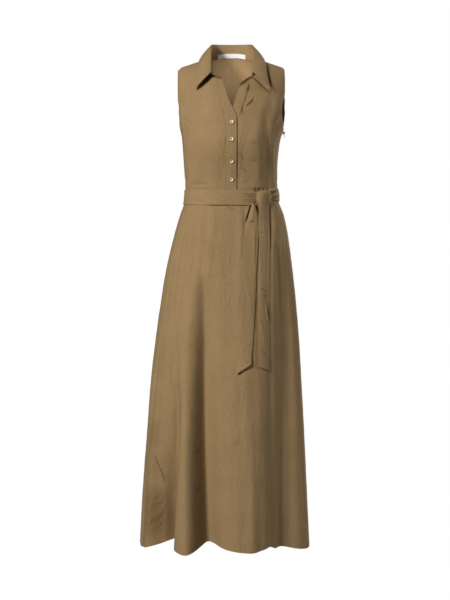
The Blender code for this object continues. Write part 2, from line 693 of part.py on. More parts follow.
def build_tail(name, table, tip_drop, low_side, finish):
    """A hanging end of the belt: a strip that lies over the skirt, its end cut on a slant."""
    knots = column(table, TAIL_COLUMNS, "level")
    share, middle = np.meshgrid(np.linspace(0, 1, 4), np.linspace(knots.min(), knots.max(), 22))
    across = curve_through(knots, column(table, TAIL_COLUMNS, "across"), middle)
    width = curve_through(knots, column(table, TAIL_COLUMNS, "width"), middle)
    slant = share if low_side > 0 else 1 - share
    level = middle - tip_drop * slant * smooth_step(-middle, -knots.min() - TAIL_TIP_LENGTH, -knots.min())
    stand_off = column(table, TAIL_COLUMNS, "stand_off")

    def lift(_across, height):
        """The strip eases down from the knot onto the skirt."""
        return WALL + curve_through(knots, stand_off, height)

    return body_wall(name, angle_at(across + width * (share - 0.5), level), level, finish, lift)


# ---------------------------------------------------------------- buttons and the zip's end

def build_button(name, level, finish):
    """A turned button with a raised rim, its back on the upper band."""
    angle = angle_at(np.array(BUTTON_ACROSS), np.array(level))
    seat = body_point(angle, np.array(level), UPPER_LIFT + BUTTON_SEAT)

    def near(turn, rise):
        return body_point(angle + turn, np.array(level) + rise, UPPER_LIFT + BUTTON_SEAT)

    across = unit(near(ANGLE_STEP, 0) - near(-ANGLE_STEP, 0))
    upward = unit(near(0, LEVEL_STEP) - near(0, -LEVEL_STEP))
    outward = unit(np.cross(across, upward))
    segments = BUTTON_SEGMENTS
    profile = BUTTON_PROFILE[1:-1]
    points = []
    for radius, height in profile:
        for place in range(segments):
            turn = 2 * math.pi * place / segments
            points.append(seat + across * math.cos(turn) * radius * BUTTON_RADIUS
                          + upward * math.sin(turn) * radius * BUTTON_RADIUS
                          + outward * height * BUTTON_THICKNESS)
    for _, height in (BUTTON_PROFILE[0], BUTTON_PROFILE[-1]):
        points.append(seat + outward * height * BUTTON_THICKNESS)
    faces = []
    for ring in range(len(profile) - 1):
        for place in range(segments):
            after = (place + 1) % segments
            a = ring * segments + place
            b = ring * segments + after
            faces.append((a, b, b + segments, a + segments))
    first = len(points) - 2
    last = (len(profile) - 1) * segments
    for place in range(segments):
        after = (place + 1) % segments
        faces += [(first, after, place), (first + 1, last + place, last + after)]
    return add_object(name, points, faces, finish)


def zip_pivot():
    """Middle of the pull tab's pin, off the side seam below the arm."""
    low = SLIDER_TOP - SLIDER_SIZE[2] / 2
    wall_x = max(body_point(90.0, np.array(z))[0] for z in (SLIDER_TOP, low, SLIDER_TOP - SLIDER_SIZE[2]))
    face_x = wall_x + SEAM + SLIDER_SIZE[0]
    return wall_x, face_x, (face_x + LUG_REACH - PIN_INSET, 0.0, SLIDER_TOP - PIN_DROP)


def box_points(low, high):
    """Corners and faces of a box."""
    points = [(x, y, z) for x in (low[0], high[0]) for y in (low[1], high[1]) for z in (low[2], high[2])]
    faces = [(0, 1, 3, 2), (4, 6, 7, 5), (0, 4, 5, 1), (2, 3, 7, 6), (0, 2, 6, 4), (1, 5, 7, 3)]
    return points, faces


def cylinder_points(centre, radius, half_length, segments):
    """Corners and faces of a cylinder along Y."""
    points = []
    for end in (-1, 1):
        for place in range(segments):
            turn = 2 * math.pi * place / segments
            points.append((centre[0] + radius * math.cos(turn), centre[1] + end * half_length,
                           centre[2] + radius * math.sin(turn)))
    faces = [tuple(range(segments)), tuple(range(2 * segments - 1, segments - 1, -1))]
    for place in range(segments):
        after = (place + 1) % segments
        faces.append((place, after, after + segments, place + segments))
    return points, faces


def combine(target, points, faces, operation, finish):
    """Join a shape to the target, or cut it out, with a Boolean modifier."""
    tool = add_object(f"{target.name}_{operation.lower()}_{len(target.modifiers)}", points, faces,
                      finish, smooth=False)
    tool.hide_render = True
    tool.display_type = "WIRE"
    change = target.modifiers.new(tool.name, "BOOLEAN")
    change.operation = operation
    change.object = tool
    change.solver = "EXACT"


def build_zip(metal):
    """The slider with two lugs and a pin, and the pull tab whose eye turns on the pin."""
    wall_x, face_x, pivot = zip_pivot()
    half = SLIDER_SIZE[1] / 2
    low = (wall_x + SEAM, -half, SLIDER_TOP - SLIDER_SIZE[2])
    high = (face_x, half, SLIDER_TOP)
    slider = add_object("zip_slider", *box_points(low, high), metal, smooth=False)
    for side in (-1, 1):
        inner = side * LUG_INNER_HALF_GAP
        outer = side * (LUG_INNER_HALF_GAP + LUG_THICKNESS)
        lug_top = SLIDER_TOP - LUG_TOP_ROOM
        lug_low = (face_x - LUG_SINK, min(inner, outer), lug_top - LUG_HEIGHT)
        lug_high = (face_x + LUG_REACH, max(inner, outer), lug_top)
        combine(slider, *box_points(lug_low, lug_high), "UNION", metal)
    combine(slider, *cylinder_points(pivot, PIN_RADIUS, LUG_INNER_HALF_GAP + PIN_SINK, PIN_SEGMENTS), "UNION", metal)

    tab = add_object("zip_tab", *cylinder_points((0, 0, 0), TAB_EYE_OUTER, TAB_EYE_HALF_WIDTH, EYE_SEGMENTS),
                     metal, smooth=False)
    neck_low = (-TAB_THICKNESS / 2, -TAB_EYE_HALF_WIDTH, -TAB_LENGTH / 3)
    neck_high = (TAB_THICKNESS / 2, TAB_EYE_HALF_WIDTH, -TAB_EYE_INNER - TAB_EYE_WEB)
    plate_low = (-TAB_THICKNESS / 2, -TAB_HALF_WIDTH, -TAB_LENGTH)
    plate_high = (TAB_THICKNESS / 2, TAB_HALF_WIDTH, -TAB_LENGTH / 3 + PLATE_SINK)
    pieces = ((*box_points(neck_low, neck_high), "UNION"), (*box_points(plate_low, plate_high), "UNION"),
              (*cylinder_points((0, 0, 0), TAB_EYE_INNER, TAB_EYE_HALF_WIDTH + LUG_SINK, PIN_SEGMENTS), "DIFFERENCE"))
    for points, faces, operation in pieces:
        placed = [(x + pivot[0], y + pivot[1], z + pivot[2]) for x, y, z in points]
        combine(tab, placed, faces, operation, metal)
    tab.location = pivot


# ---------------------------------------------------------------- the dress

def build():
    """Every piece of the dress."""
    for old in list(bpy.data.objects):
        bpy.data.objects.remove(old, do_unlink=True)

    cloth = material("khaki_cloth", (0.235, 0.168, 0.085), 0.85)
    label_satin = material("label_satin", (0.80, 0.79, 0.76), 0.45)
    horn = material("pale_button", (0.60, 0.50, 0.36), 0.35)
    metal = material("zip_metal", (0.55, 0.52, 0.52), 0.35, 1.0)

    front_panel("bodice_front_right", UPPER_STITCHED_EDGE, NECK_EDGE_RIGHT, -1, upper_lift, cloth)
    front_panel("bodice_front_left", UNDER_STITCHED_EDGE, NECK_EDGE_LEFT, 1, no_lift, cloth)
    back_panel("bodice_back_right", -1, cloth)
    back_panel("bodice_back_left", 1, cloth)
    front_band("placket_upper", UPPER_FREE_EDGE, UPPER_STITCHED_EDGE, -1, upper_lift, cloth)
    front_band("placket_under", UNDER_FREE_EDGE, UNDER_STITCHED_EDGE, 1, no_lift, cloth)
    build_collar(cloth)
    build_label(label_satin)
    skirt_panel("skirt_front_right", at_angle(-90), centre_front, 32, cloth)
    skirt_panel("skirt_front_left", centre_front, at_angle(90), 30, cloth)
    skirt_panel("skirt_back_left", at_angle(90), at_angle(180), 22, cloth)
    skirt_panel("skirt_back_right", at_angle(180), at_angle(270), 22, cloth)
    build_belt_band(cloth)
    build_belt_knot(cloth)
    build_tail("belt_tail_under", TAIL_UNDER, TAIL_UNDER_TIP_DROP, -1, cloth)
    build_tail("belt_tail_over", TAIL_OVER, TAIL_OVER_TIP_DROP, 1, cloth)
    for number, level in enumerate(BUTTON_LEVELS, start=1):
        build_button(f"button_{number}", level, horn)
    build_zip(metal)


build()
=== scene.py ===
"""Looks of a long sleeveless shirt dress with a tie belt, filled out as if worn.

Metres, +Z up, -Y to the front, +X to the wearer's left. The origin is the middle of the shoulder
line. Every cloth piece is a thin closed shell on the form of its solid: body_point() repeats that
form, and hang() adds the soft troughs and ridges that the cloth hangs in. Single sizes are in
metres, and tables are in millimetres and degrees unless they say otherwise.
"""

import math

import bpy
import numpy as np
from mathutils import Euler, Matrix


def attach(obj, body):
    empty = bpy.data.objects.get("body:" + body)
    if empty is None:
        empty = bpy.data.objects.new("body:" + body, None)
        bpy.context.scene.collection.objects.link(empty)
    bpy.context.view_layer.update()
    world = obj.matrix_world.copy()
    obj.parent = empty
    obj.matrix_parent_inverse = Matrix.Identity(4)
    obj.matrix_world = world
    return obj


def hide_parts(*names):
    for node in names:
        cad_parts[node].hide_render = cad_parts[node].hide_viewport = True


bl_info = {
    "name": "Shirt dress with tie belt",
    "version": (1, 0, 0),
    "blender": (4, 5, 0),
    "location": "3D View > Sidebar > Dress",
    "description": "Cloth, trims and stage of a long sleeveless shirt dress",
    "category": "Object",
}

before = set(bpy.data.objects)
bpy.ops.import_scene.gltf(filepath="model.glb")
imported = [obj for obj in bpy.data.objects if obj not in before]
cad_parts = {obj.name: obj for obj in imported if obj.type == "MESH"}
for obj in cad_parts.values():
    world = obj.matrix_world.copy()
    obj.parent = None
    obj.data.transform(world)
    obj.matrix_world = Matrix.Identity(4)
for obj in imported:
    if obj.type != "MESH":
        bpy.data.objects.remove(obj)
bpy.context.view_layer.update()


def table(columns, rows, plain=()):
    """Named columns of a table: lengths go from millimetres to metres, plain columns stay."""
    return {key: values if key in plain else values / 1000
            for key, values in zip(columns.split(), np.array(rows, float).T)}


def edge(*rows):
    """Heights and distances from the centre line of one edge of the front."""
    return np.array(rows) / 1000


# ---------------------------------------------------------------- sizes of the form

SEAM = 0.00002               # panels meet at their seams
WAIST_Z = -0.389
HEM_Z = -1.347
UNDERARM_Z = -0.207
NECK_HALF_WIDTH = 0.070
BACK_NECK_DEPTH = 0.056
BACK_NECK_RISE = 0.027
BACK_NECK_LEVEL = -0.0275
NECK_SHOULDER_DROP = 0.0087
SHOULDER_SLOPE = 0.333
SHOULDER_TIP = 0.139
SHOULDER_TIP_ROUNDING = 0.005
SHOULDER_TIP_LENGTH = 0.010
TILT_START = 0.20
TILT_FULL = 0.03
FRONT_CAP = (0.24, 1.6)      # depth and power of the rings' closing at the shoulders
BACK_CAP = (0.17, 1.9)
NECK_PLAN_POWER = 2.4
LEAST_DEPTH = 0.02
LEVEL_CROWDING = (0.55, 2.2)  # share and power of the levels' crowding towards the shoulder

# Columns and rows of the grid that each piece is worked out on.
GRID_SIZES = {
    "front": (84, 170), "back": (76, 150), "band": (20, 150), "label": (60, 12), "belt": (480, 34),
    "skirt_front": (150, 230), "skirt_back": (120, 180), "knot": (90, 70),
    "lower_end": (30, 190), "upper_end": (30, 240)}

# The rings of the form: level, half widths and depths to the four sides, and the power that
# makes them squarer than an ellipse.
RINGS = table("level right left front back square", (
    (-1400, 261, 220, 196, 218, 2.1), (-1240, 251.5, 212.5, 184, 206, 2.1),
    (-1050, 238, 203, 169, 190, 2.1), (-890, 225, 194, 156, 174, 2.1),
    (-780, 212, 187.5, 146, 161, 2.1), (-690, 199, 179.5, 138, 150, 2.12),
    (-600, 184.5, 169.5, 130, 139, 2.15), (-510, 164, 158, 119, 123, 2.2),
    (-443, 145, 145.5, 106, 103, 2.25), (-398, 131, 130, 95, 89, 2.3),
    (-376, 129.5, 128.5, 94, 88, 2.3), (-354, 129.8, 126.2, 96, 89, 2.3),
    (-309, 132.5, 126.5, 108, 94, 2.3), (-265, 135.5, 129.5, 124, 100, 2.3),
    (-230, 138.5, 135, 131, 104, 2.3), (-200, 143, 144, 132, 107, 2.3),
    (-150, 150, 150.5, 132, 107, 2.3), (-100, 152.5, 152.5, 132, 107, 2.3),
    (50, 153, 153, 132, 107, 2.3),
), plain=("square",))

# Long folds of the skirt, in metres and degrees: start level, angle at the top and at the hem,
# half width before and after the middle, and height.
FOLDS = (
    (-0.9, -66, -61, 7, 6, 0.012), (-0.9, -38, -43.5, 8, 4.5, -0.062),
    (-0.54, -36, -26, 9, 6, 0.03), (-0.6, -22, -16.5, 4.2, 10.5, -0.056),
    (-0.5, 10, 12, 10, 9, 0.012), (-0.52, 58, 48, 18, 11, -0.044), (-0.56, 78, 74, 9, 10, 0.004),
    (-0.64, 94, 96, 8, 8, -0.006), (-0.56, 108, 112, 9, 8, 0.014), (-0.6, 124, 130, 7, 9, -0.022),
    (-0.54, 142, 148, 9, 8, 0.018), (-0.58, 160, 165, 6, 9, -0.024), (-0.52, 181, 182, 9, 8, 0.02),
    (-0.6, 202, 199, 6, 9, -0.024), (-0.54, 221, 216, 9, 8, 0.018), (-0.64, 238, 233, 8, 7, -0.02),
    (-0.56, 256, 252, 9, 9, 0.01),
)
FOLD_GROWTH = 0.70
FOLD_REACH = 1.1
HEM_DIP = 0.28
HEM_SIDE_DROP = 0.018
HEM_SIDES = (-78.0, -52.0, 28.0, 42.0)
HEM_DOUBLED = (0.972, 0.976)  # the share of the length at which the turned-up hem begins

ARMHOLE = table("level front back", (
    (-207, 0, 0), (-204, 8, 6), (-199, 13.5, 9.5), (-190, 19.5, 12.5), (-180, 23.5, 14),
    (-155, 27.5, 15), (-130, 26, 14.5), (-100, 21.5, 14.5), (-70, 17, 15.5), (-30, 16.5, 16.5),
    (0, 18.5, 18.5),
), plain=("front", "back"))
RIGHT_ARMHOLE_SHARE = 0.62   # the right front's edge lies nearer the side by this share
ARMHOLE_FLARE = (0.0042, 30.0, -0.1680, 0.0350)   # how far, over what angle, where, and how high

UPPER_FREE_EDGE = edge(
    (-64, -27.5), (-92.8, -19.2), (-125.1, -9.5), (-149.3, 1.6), (-176.2, 12.7), (-200, 12.8),
    (-389, 12.8),
)
UPPER_STITCHED_EDGE = edge(
    (-59, -43.5), (-83.4, -38.5), (-116, -33), (-147.7, -26.9), (-176.2, -16.5), (-200, -16.3),
    (-389, -16.3),
)
UNDER_FREE_EDGE = edge(
    (-79, 23.4), (-116.6, 11.1), (-139.5, 4.6), (-165, -3.5), (-190, -10.5), (-215, -13),
    (-389, -13),
)
UNDER_STITCHED_EDGE = edge(
    (-62.5, 48), (-78.9, 47.5), (-101.5, 41.8), (-139.5, 31.2), (-169.8, 20.7), (-184.9, 15.2),
    (-205, 14.8), (-389, 14.8),
)
NECK_EDGE_RIGHT = edge(
    (-8.7, -70), (-22, -67.8), (-40, -62.8), (-54.6, -56.8), (-59, -43.5),
)
NECK_EDGE_LEFT = edge(
    (-8.7, 70), (-22, 67.8), (-42, 62), (-57.9, 54.8), (-62.5, 48),
)
UPPER_LIFT = 0.0024
LIFT_FROM = -0.075
LIFT_TO = -0.040

COLLAR = table("share fold_x fold_y fold_z edge_x edge_y edge_z", (
    (0, 0, 60, 35.5, 0, 76, -10), (0.2, 33, 56, 35.5, 41, 70, -11),
    (0.4, 53, 34, 34, 74.5, 45, -11.5), (0.54, 57.5, 4, 27, 89, 6, -11),
    (0.7, 57.7, -25, 6, 92.5, -32, -28), (0.85, 57.2, -50, -21, 95, -58, -60),
    (1, 56, -73.5, -50, 103, -80, -97.5),
), plain=("share",))
COLLAR_STATIONS = 70
COLLAR_STAND_ROWS = 9
COLLAR_FOLD_RADIUS = 0.0022
COLLAR_FALL_BULGE = 0.0030
COLLAR_FRONT_SHIFT = 0.0015
COLLAR_FRONT_STAND = 0.0085  # the fronts of the fall stand off the dress by this much more,
COLLAR_LEFT_STAND = 0.3      # the left one by this share of it,
COLLAR_STAND_FROM = 0.74     # from this share of the way to the collar's ends

BELT_TOP = -0.370
BELT_BOTTOM = -0.411
BELT_STAND_OFF = 0.0012
BELT_RISE = 0.0030
BELT_BOW = 0.0010
BELT_EDGE_SINK = 0.0006
END_EDGE_SINK = 0.0005
BELT_TOP_DRAWN = (0.0035, -0.0075)          # up beyond the knot, down at it
BELT_BOTTOM_DRAWN = (0.0135, -0.0045, -0.0018)  # up beyond it, less farther on, down before it
BEYOND_KNOT = (40, 50, 95, 150)   # angles where the belt's edges start to draw, do so wholly,
BEFORE_KNOT = (0, 20, 24, 40)     # start to leave off and have left off
AT_KNOT = (22, 29, 42, 50)
FARTHER_ON = (48, 85)
OVER_LAP = (-0.090, -0.055, 0.016, 0.050)   # the same across the lapped fronts, for the rise
EDGE_ROUNDING = 14           # power that keeps a doubled edge's rounding to its last millimetres

LABEL_SIZE = (0.077, 0.0125)
LABEL_STAND_OFF = 0.0003
LABEL_WALL = 0.0005
LABEL_PUFF = 0.0004

BUTTON_ACROSS = -0.0015
BUTTON_LEVELS = (-0.1877, -0.2332, -0.2924, -0.3415)
BUTTON_SEAT = 0.0005

# ---------------------------------------------------------------- creases

# The narrowest troughs of every crease table also get painted shade, such as under the collar's
# ends, beside the bands' edges and in the belt's pleats.
# Creases of the front, as places on the front seen straight on: across and height of both ends,
# how far the middle bows, half the width, and the height, which is below zero for a trough.
FRONT_CREASES = (
    # pinched cloth beside the left band, under the collar
    (34.5, -142, 57.5, -119, 2, 2.8, 2.2), (37.5, -146, 60, -123.5, 2, 3, -2.6),
    (48, -82, 39, -108, 1, 3, -2.2), (53, -85, 44, -112, 1, 4, 1.8),
    (29, -150, 33, -170, -1, 2.6, -1.6), (26, -162, 42, -156, 1, 3, 1.2),
    # the neckline sinks under the collar's ends
    (64, -52, 18, -90, 1, 4.2, -5), (-64, -58, -20, -68, 1, 3.4, -4),
    (50, -59, 108, -103, 1, 3.2, -3.4), (95.5, -28, 108.5, -99, 1, 3, -3),
    (-56, -56, -86, -80, 1, 4.2, -4),
    # beside the left band's stitching and the upper band's free edge
    (48.5, -83, 42.5, -110, 1, 2.2, -2.6), (43, -106, 34.5, -135, 0, 2, -2.2),
    (35, -131, 23.5, -170, 0, 2, -1.8), (14, -160, 14, -270, 0, 1.8, -0.8),
    (14, -230, 14, -390, 0, 1.8, -0.9),
    # puckers along the band and short level creases on the bust and the ribs
    (22, -266, 33, -292, 1, 3, -1.3), (25, -308, 43, -324, 1, 3.4, -1.4),
    (23, -342, 40, -348, 1, 3.4, 1.2), (48, -292.5, 71, -292.2, 1, 2.6, -1.2),
    (44, -248, 64, -244, 1, 3, -0.8),
    # the ribs' hollow on the left and soft upright folds on the right
    (63, -125, 64, -390, 2, 24, 5.6), (90, -145, 100, -380, 4, 13, -4.6),
    (106, -190, 113, -365, 2, 7, 2), (64, -210, 72, -366, 2, 10, 1.5),
    (-97.6, -206, -98.5, -366, 2, 7, 1.6), (-78.5, -220, -79.1, -366, 2, 6.5, -1.3),
    (-56, -240, -60, -366, 1, 8, 1), (-116, -250, -114, -366, 1, 6, -1.2),
    # from the armholes and the shoulders
    (-135, -175, -102, -205, 3, 6, -1.6), (-128, -125, -108, -175, 3, 8, 1.2),
    (135, -145, 112, -195, 3, 7, -2.2), (118, -105, 114, -170, 2, 8, 1.6),
    (-100, -60, -70, -125, 3, 10, -1), (85, -115, 70, -170, 2, 9, 1.2),
    # cloth that settles on the belt
    (-124, -360, -55, -363, 1, 4, 2), (-118, -352, -64, -354, 1, 3.5, -1.2),
    (65, -363, 59, -390, 0, 2.8, -5), (70, -360, 66, -384, 0, 2.2, 2.6),
    (74.5, -363, 69, -390, 0, 2.6, -4.8), (86.5, -362, 83, -390, 0, 2.6, -4.4),
    (100, -364, 94, -384, 0, 2.6, -3.4), (26, -360, 56, -365, 1, 3, 1.2),
    # just under the belt
    (-16, -416, 12, -426, 1, 3.2, -1.2), (-12, -422, 18, -434, 1, 3, 1),
    (-70.9, -412, -67.9, -520, 1, 6, -1.3), (-88, -412, -90, -540, 1, 7, 1.4),
    (-52, -412, -50, -500, 1, 6, 1), (-110, -412, -118, -520, 2, 7, -1.4),
    (20, -412, 23, -560, 1, 8, 1.2), (33, -412, 35, -490, 1, 5, -1.6),
    (108, -412, 122, -520, 2, 7, 1.8), (120, -412, 136, -500, 2, 6, -1.6),
    # a strip that stands up beside the belt's end, and hollows below it
    (112, -455, 113, -740, 1, 8.5, 3), (125, -470, 129, -780, 2, 10, -2.6),
    # a narrow hollow beside the deepest one, and the wide fold at the left
    (-162.8, -660, -152.8, -840, 1, 5.5, -2.6), (-152.8, -760, -150.5, -1120, 1, 5, -2.6),
    (106, -830, 108, -1520, 1, 16, -6), (140, -830, 146, -1520, 1, 15, 6),
    # the crumpled strip above the hem, on the right
    (-206, -1090, -202, -1520, 1, 18, -8), (-183, -1120, -176, -1520, 1, 10, 3),
    (-213, -1100, -196, -1144, -2, 3.6, -3), (-199, -1130, -184, -1184, 2, 3.6, -3.2),
    (-211, -1128, -204, -1170, -2, 5, -2.2), (-208, -1100, -179, -1170, -4, 5, 3.4),
    (-222, -1108, -194, -1180, -3, 4.5, 2), (-213, -1030, -226, -1060, 3, 3, -1.6),
    (-206, -1034, -220, -1076, 3, 3, -1.4), (-199, -1050, -212, -1084, 2, 3, -1.4),
    (-183.5, -1191.5, -220, -1230, 3, 3.2, -1.8), (-182, -1212, -226, -1262, 3, 3.4, -2.2),
    (-183, -1230, -224, -1282, 3, 3.4, 1.4), (-180, -1242, -224, -1298, 3, 3.4, -2.4),
    (-183.5, -1264, -218, -1318, 2, 3.4, -1.8),
    # short slanting marks beside the deepest hollow, and small ones down the left
    (-100.5, -1089, -84.3, -1073.7, 0, 3.2, -1.6), (-99, -1129, -84, -1114, 0, 3.2, 1.3),
    (-97.7, -1189, -81.6, -1174.3, 0, 3.2, -1.6), (-96, -1229, -83, -1216, 0, 3, 1.2),
    (98.1, -1188.4, 100.9, -1259.7, 1, 5, -2.2), (86, -1070, 90, -1150, 1, 5, 1.2),
    (54, -900, 53.8, -1330, 1, 8, 1.6), (26, -890, 24, -1230, 2, 10, -1),
    (-6, -960, -8, -1310, 2, 11, 1), (10, -1056, 26, -1050, 1, 4, -1),
)

# Creases of the sides and the back: angle from the front centre in degrees, and height.
ROUND_CREASES = (
    # from the armholes round to the back
    (100, -215, 128, -250, 4, 7, -1.8), (104, -225, 136, -275, 4, 8, 1.6),
    (258, -215, 234, -248, 4, 7, -1.8), (256, -230, 226, -276, 4, 8, 1.6),
    (112, -150, 124, -205, 3, 8, -1.2), (247, -150, 236, -205, 3, 8, -1.2),
    # back waist shaping and cloth that settles on the belt
    (140, -240, 143, -366, 1, 8, -2.6), (218, -245, 216, -366, 1, 8, -2.6),
    (152, -318, 172, -330, 3, 5, -1.8), (150, -329, 174, -342, 3, 5.5, 2),
    (156, -345, 178, -354, 2, 5, -1.8), (186, -324, 208, -316, -3, 5, -1.8),
    (184, -338, 210, -328, -3, 5.5, 2), (190, -355, 212, -346, -2, 5, -1.6),
    (118, -354, 136, -360, 1, 4.5, 2), (226, -359, 246, -355, 1, 4.5, 2),
    (72, -225, 84, -270, 3, 7, -1.6), (-74, -225, -84, -265, 3, 7, -1.4),
    (80, -340, 98, -362, 2, 5, -1.4), (262, -342, 282, -356, 2, 5, -1.4),
    # under the belt at the sides and the back
    (100, -412, 104, -520, 1, 6, 1.6), (112, -412, 114, -540, 1, 6.5, -1.6),
    (126, -412, 127, -560, 1, 6, 1.4), (150, -412, 152, -530, 1, 7, 1.4),
    (170, -412, 171, -500, 1, 6, -1.4), (190, -412, 189, -530, 1, 6, -1.2),
    (211, -412, 210, -560, 1, 7, 1.4), (232, -412, 230, -520, 1, 6, -1.6),
    (248, -412, 247, -550, 1, 6.5, 1.6), (266, -412, 264, -500, 1, 5.5, -1.4),
    # crumpled strips above the hem, behind
    (96, -1080, 103, -1150, 3, 5.5, -2.2), (99, -1075, 106, -1140, 3, 5.5, 2),
    (104, -1190, 97, -1250, 3, 4.5, -1.8), (105, -1175, 98, -1235, 3, 4.5, 1.5),
    (148, -1030, 156, -1100, 3, 5, -1.8), (151, -1025, 159, -1090, 3, 5, 1.6),
    (186, -1150, 178, -1220, 3, 5, -2), (188, -1140, 180, -1205, 3, 5, 1.8),
    (224, -930, 230, -1010, 3, 6, -1.8), (243, -1200, 236, -1270, 3, 4.5, -2),
    (245, -1190, 238, -1255, 3, 4.5, 1.6), (262, -1040, 268, -1110, 3, 5.5, -2),
    # where someone has sat
    (140, -620, 170, -650, 10, 8, -1.4), (190, -650, 220, -615, 10, 8, -1.4),
    (146, -700, 172, -725, 8, 7, 1.2), (188, -720, 214, -695, 8, 7, 1.2),
)

# Finely crumpled places, which get fine bumps and painted light and shade: across and height
# on the front, or angle and height round the dress, then how far they reach across and up, and
# how strong they are, from 0 to 1.
FRONT_CRUMPLES = (
    (-217, -1044, 30, 42, 0.5), (-209, -1255, 43, 80, 1), (-206, -1140, 30, 50, 0.45),
    (-108, -1200, 8, 110, 0.25), (86, -648, 9, 15, 0.35), (86, -770, 9, 60, 0.12),
    (35, -310, 14, 50, 0.1),
)
ROUND_CRUMPLES = (
    (100, -1150, 30, 80, 0.4), (153, -1070, 30, 70, 0.4), (182, -1190, 26, 70, 0.45),
    (228, -970, 26, 60, 0.3), (240, -1230, 26, 70, 0.45), (264, -1080, 26, 60, 0.4),
)

# Creases of the skirt that stay under the belt's hanging ends.
UNDER_END_CREASES = (
    (55.5, -406, 38, -458, 1, 3.6, -5.6), (50, -412, 35, -454, 1, 4.5, 2.2),
    (70, -412, 72, -456, 0, 2.2, -4), (104.5, -412, 106, -540, 1, 3, -3),
)

# Creases of the belt: the pleats that run into the knot, the twist beyond it, and slack behind.
BELT_CREASES = (
    (59, -414, 72, -406, 0, 4.4, -7), (29, -382.5, 70, -386.2, 0.5, 1.7, -1.5),
    (35, -389.9, 70, -391, 0.5, 1.7, -1.5), (32, -399.6, 70, -395.5, 0.5, 1.7, -1.5),
    (40, -406.2, 70, -399, 0.5, 1.7, -1.5), (34, -378, 70, -382, 0.5, 2.4, 1),
    (38, -386.3, 70, -388.8, 0.5, 2.2, 1), (36, -394.8, 70, -393.2, 0.5, 2.2, 1),
    (40, -403, 70, -397.5, 0.5, 2.2, 1), (96, -380, 122, -371.2, -2, 2.2, -3.4),
    (94, -374, 120, -367.5, -2, 2.8, 3), (96, -386, 129, -383, -2, 5.5, 3.4),
    (96, -392.5, 127, -390.5, -1, 3, -1.6), (-80, -378, -30, -376.8, 1, 4, 0.5),
    (-115, -401, -60, -403, 1, 5, -0.5), (-20, -392, 24, -390.5, 1, 6, -0.5),
)

# The belt's hanging ends: height, distance from the centre line, width, how far the face stands
# off the dress, how far the sides curl back in, and how far one side stands out more. The upper
# one starts behind the belt, rolls over it as the knot's wrap and hangs down.
END_COLUMNS = "height across width stand_off curl tilt"
UPPER_END = table(END_COLUMNS, (
    (-380, 83.5, 20, 4, 0, 0), (-374.5, 83.5, 21.5, 5.8, 0, 0), (-371.6, 83.3, 24, 9, 1, 3),
    (-373.3, 83.2, 27.5, 12.5, 4, 7), (-379, 83.2, 30.5, 15, 6.5, 10.5),
    (-390, 83.2, 31.5, 15.6, 7, 12), (-403, 83.4, 31, 13.8, 5.5, 11.5),
    (-418.5, 83.8, 30, 10.2, 3, 9.5), (-435, 84.6, 30, 7, 1.2, 6.6),
    (-450, 85.5, 30.2, 5.2, 0.8, 5.2), (-514, 87.3, 31, 3.8, 0.4, 3.6),
    (-669, 87.3, 34, 3.4, 0.4, 3), (-754, 87.1, 36, 3.4, 0.4, 2.6),
    (-848, 88.5, 36, 3.8, 0.4, 2.4),
))
UPPER_END_CREASES = (
    (73, -486.3, 88, -486.4, 0, 2.2, -1.2), (78.8, -639.3, 98.1, -652, 1, 2.6, -1.3),
    (78, -647, 97.5, -660, 1, 2.6, 1.2), (80, -656, 98.5, -668, 1, 2.6, -1.2),
    (91.5, -680, 98, -730, -1, 2.2, 3.4), (95, -675, 101, -725, -1, 2.4, -1.6),
    (76, -725, 90, -750, 1, 3, -1), (74, -425, 76, -790, 1, 4, 0.7),
    (95, -430, 94, -620, 1, 5, -0.8), (78, -800, 96, -830, 1, 4, -0.9),
)
LOWER_END = table(END_COLUMNS, (
    (-408, 57.2, 7, 8.5, 3, 0), (-418.5, 57.4, 14, 9, 3.5, 0), (-430, 58.2, 22, 8, 3.5, 0),
    (-443, 58.6, 29, 6.4, 3, 0), (-456, 57.8, 33, 5, 2, 0), (-476.3, 54.8, 38, 3.8, 1, 0),
    (-574, 47.8, 38.5, 3.2, 0.4, 0), (-669, 43.4, 38.8, 3.2, 0.4, 0),
    (-751, 37.8, 38.8, 3.2, 0.4, 0), (-815, 32.6, 38.6, 4.6, 0.3, 0),
    (-841, 29.8, 38.6, 8.2, 0.2, 0),
))
LOWER_END_CREASES = (
    (46, -461, 64, -456, 1, 2.4, -1.6), (45, -468, 60, -464, 1, 2.6, 1.2),
    (56, -418, 50, -460, 1, 4, 1.6), (64, -470, 63, -570, 1, 3, -1.2),
    (60, -480, 59, -620, 1, 4, 1), (40, -790, 56, -790.5, 0, 2, -0.8),
    (32, -835, 48, -837, 0, 2.2, -1), (28, -560, 50, -720, 4, 6, 0.8),
)
END_SLANT_LENGTH = 0.07      # an end's tip slants over this length
KNOT_LUMP = (0.0860, -0.3915, 0.0200, 0.0190, 0.0085)   # middle, half width, half height, height
KNOT_LEFT_PLEATS = (0.0011, 11.0, 1.5)    # height, and how fast they follow up and across
KNOT_RIGHT_PLEATS = (0.0016, 7.0, -6.0)
KNOT_WALL = (0.0006, 0.0016, 0.0010)      # the core's face, its stand-off and its inner face

PRESSED_REACH = 0.05         # the front seam is pressed flat this near the centre line,
PRESSED_BELOW = (0.80, 0.86)  # wholly from here down,
PRESSED_ABOVE = 0.55         # and by this share above
CREASE_STEPS = 14
CREASE_REACH = 3.0
CREASE_TAPER = 0.6
UPRIGHT_CREASE = 0.02        # a crease that falls by more than this bows sideways
PAINTED_SHADE_HALF_WIDTH = 0.0045   # troughs no wider than this get painted shade in them
# trough depth at which that painted shade is full
PAINTED_SHADE_DEPTH = 0.0032
BELT_CLEARANCE = 0.004       # creases die out this far from the belt's edges
SKIRT_UNEVEN = 0.12          # unevenness grows over this length below the waist,
BODICE_UNEVEN = 0.06         # over this above it,
SHOULDER_EVEN = (0.03, 0.10)  # and fades out here below the shoulders

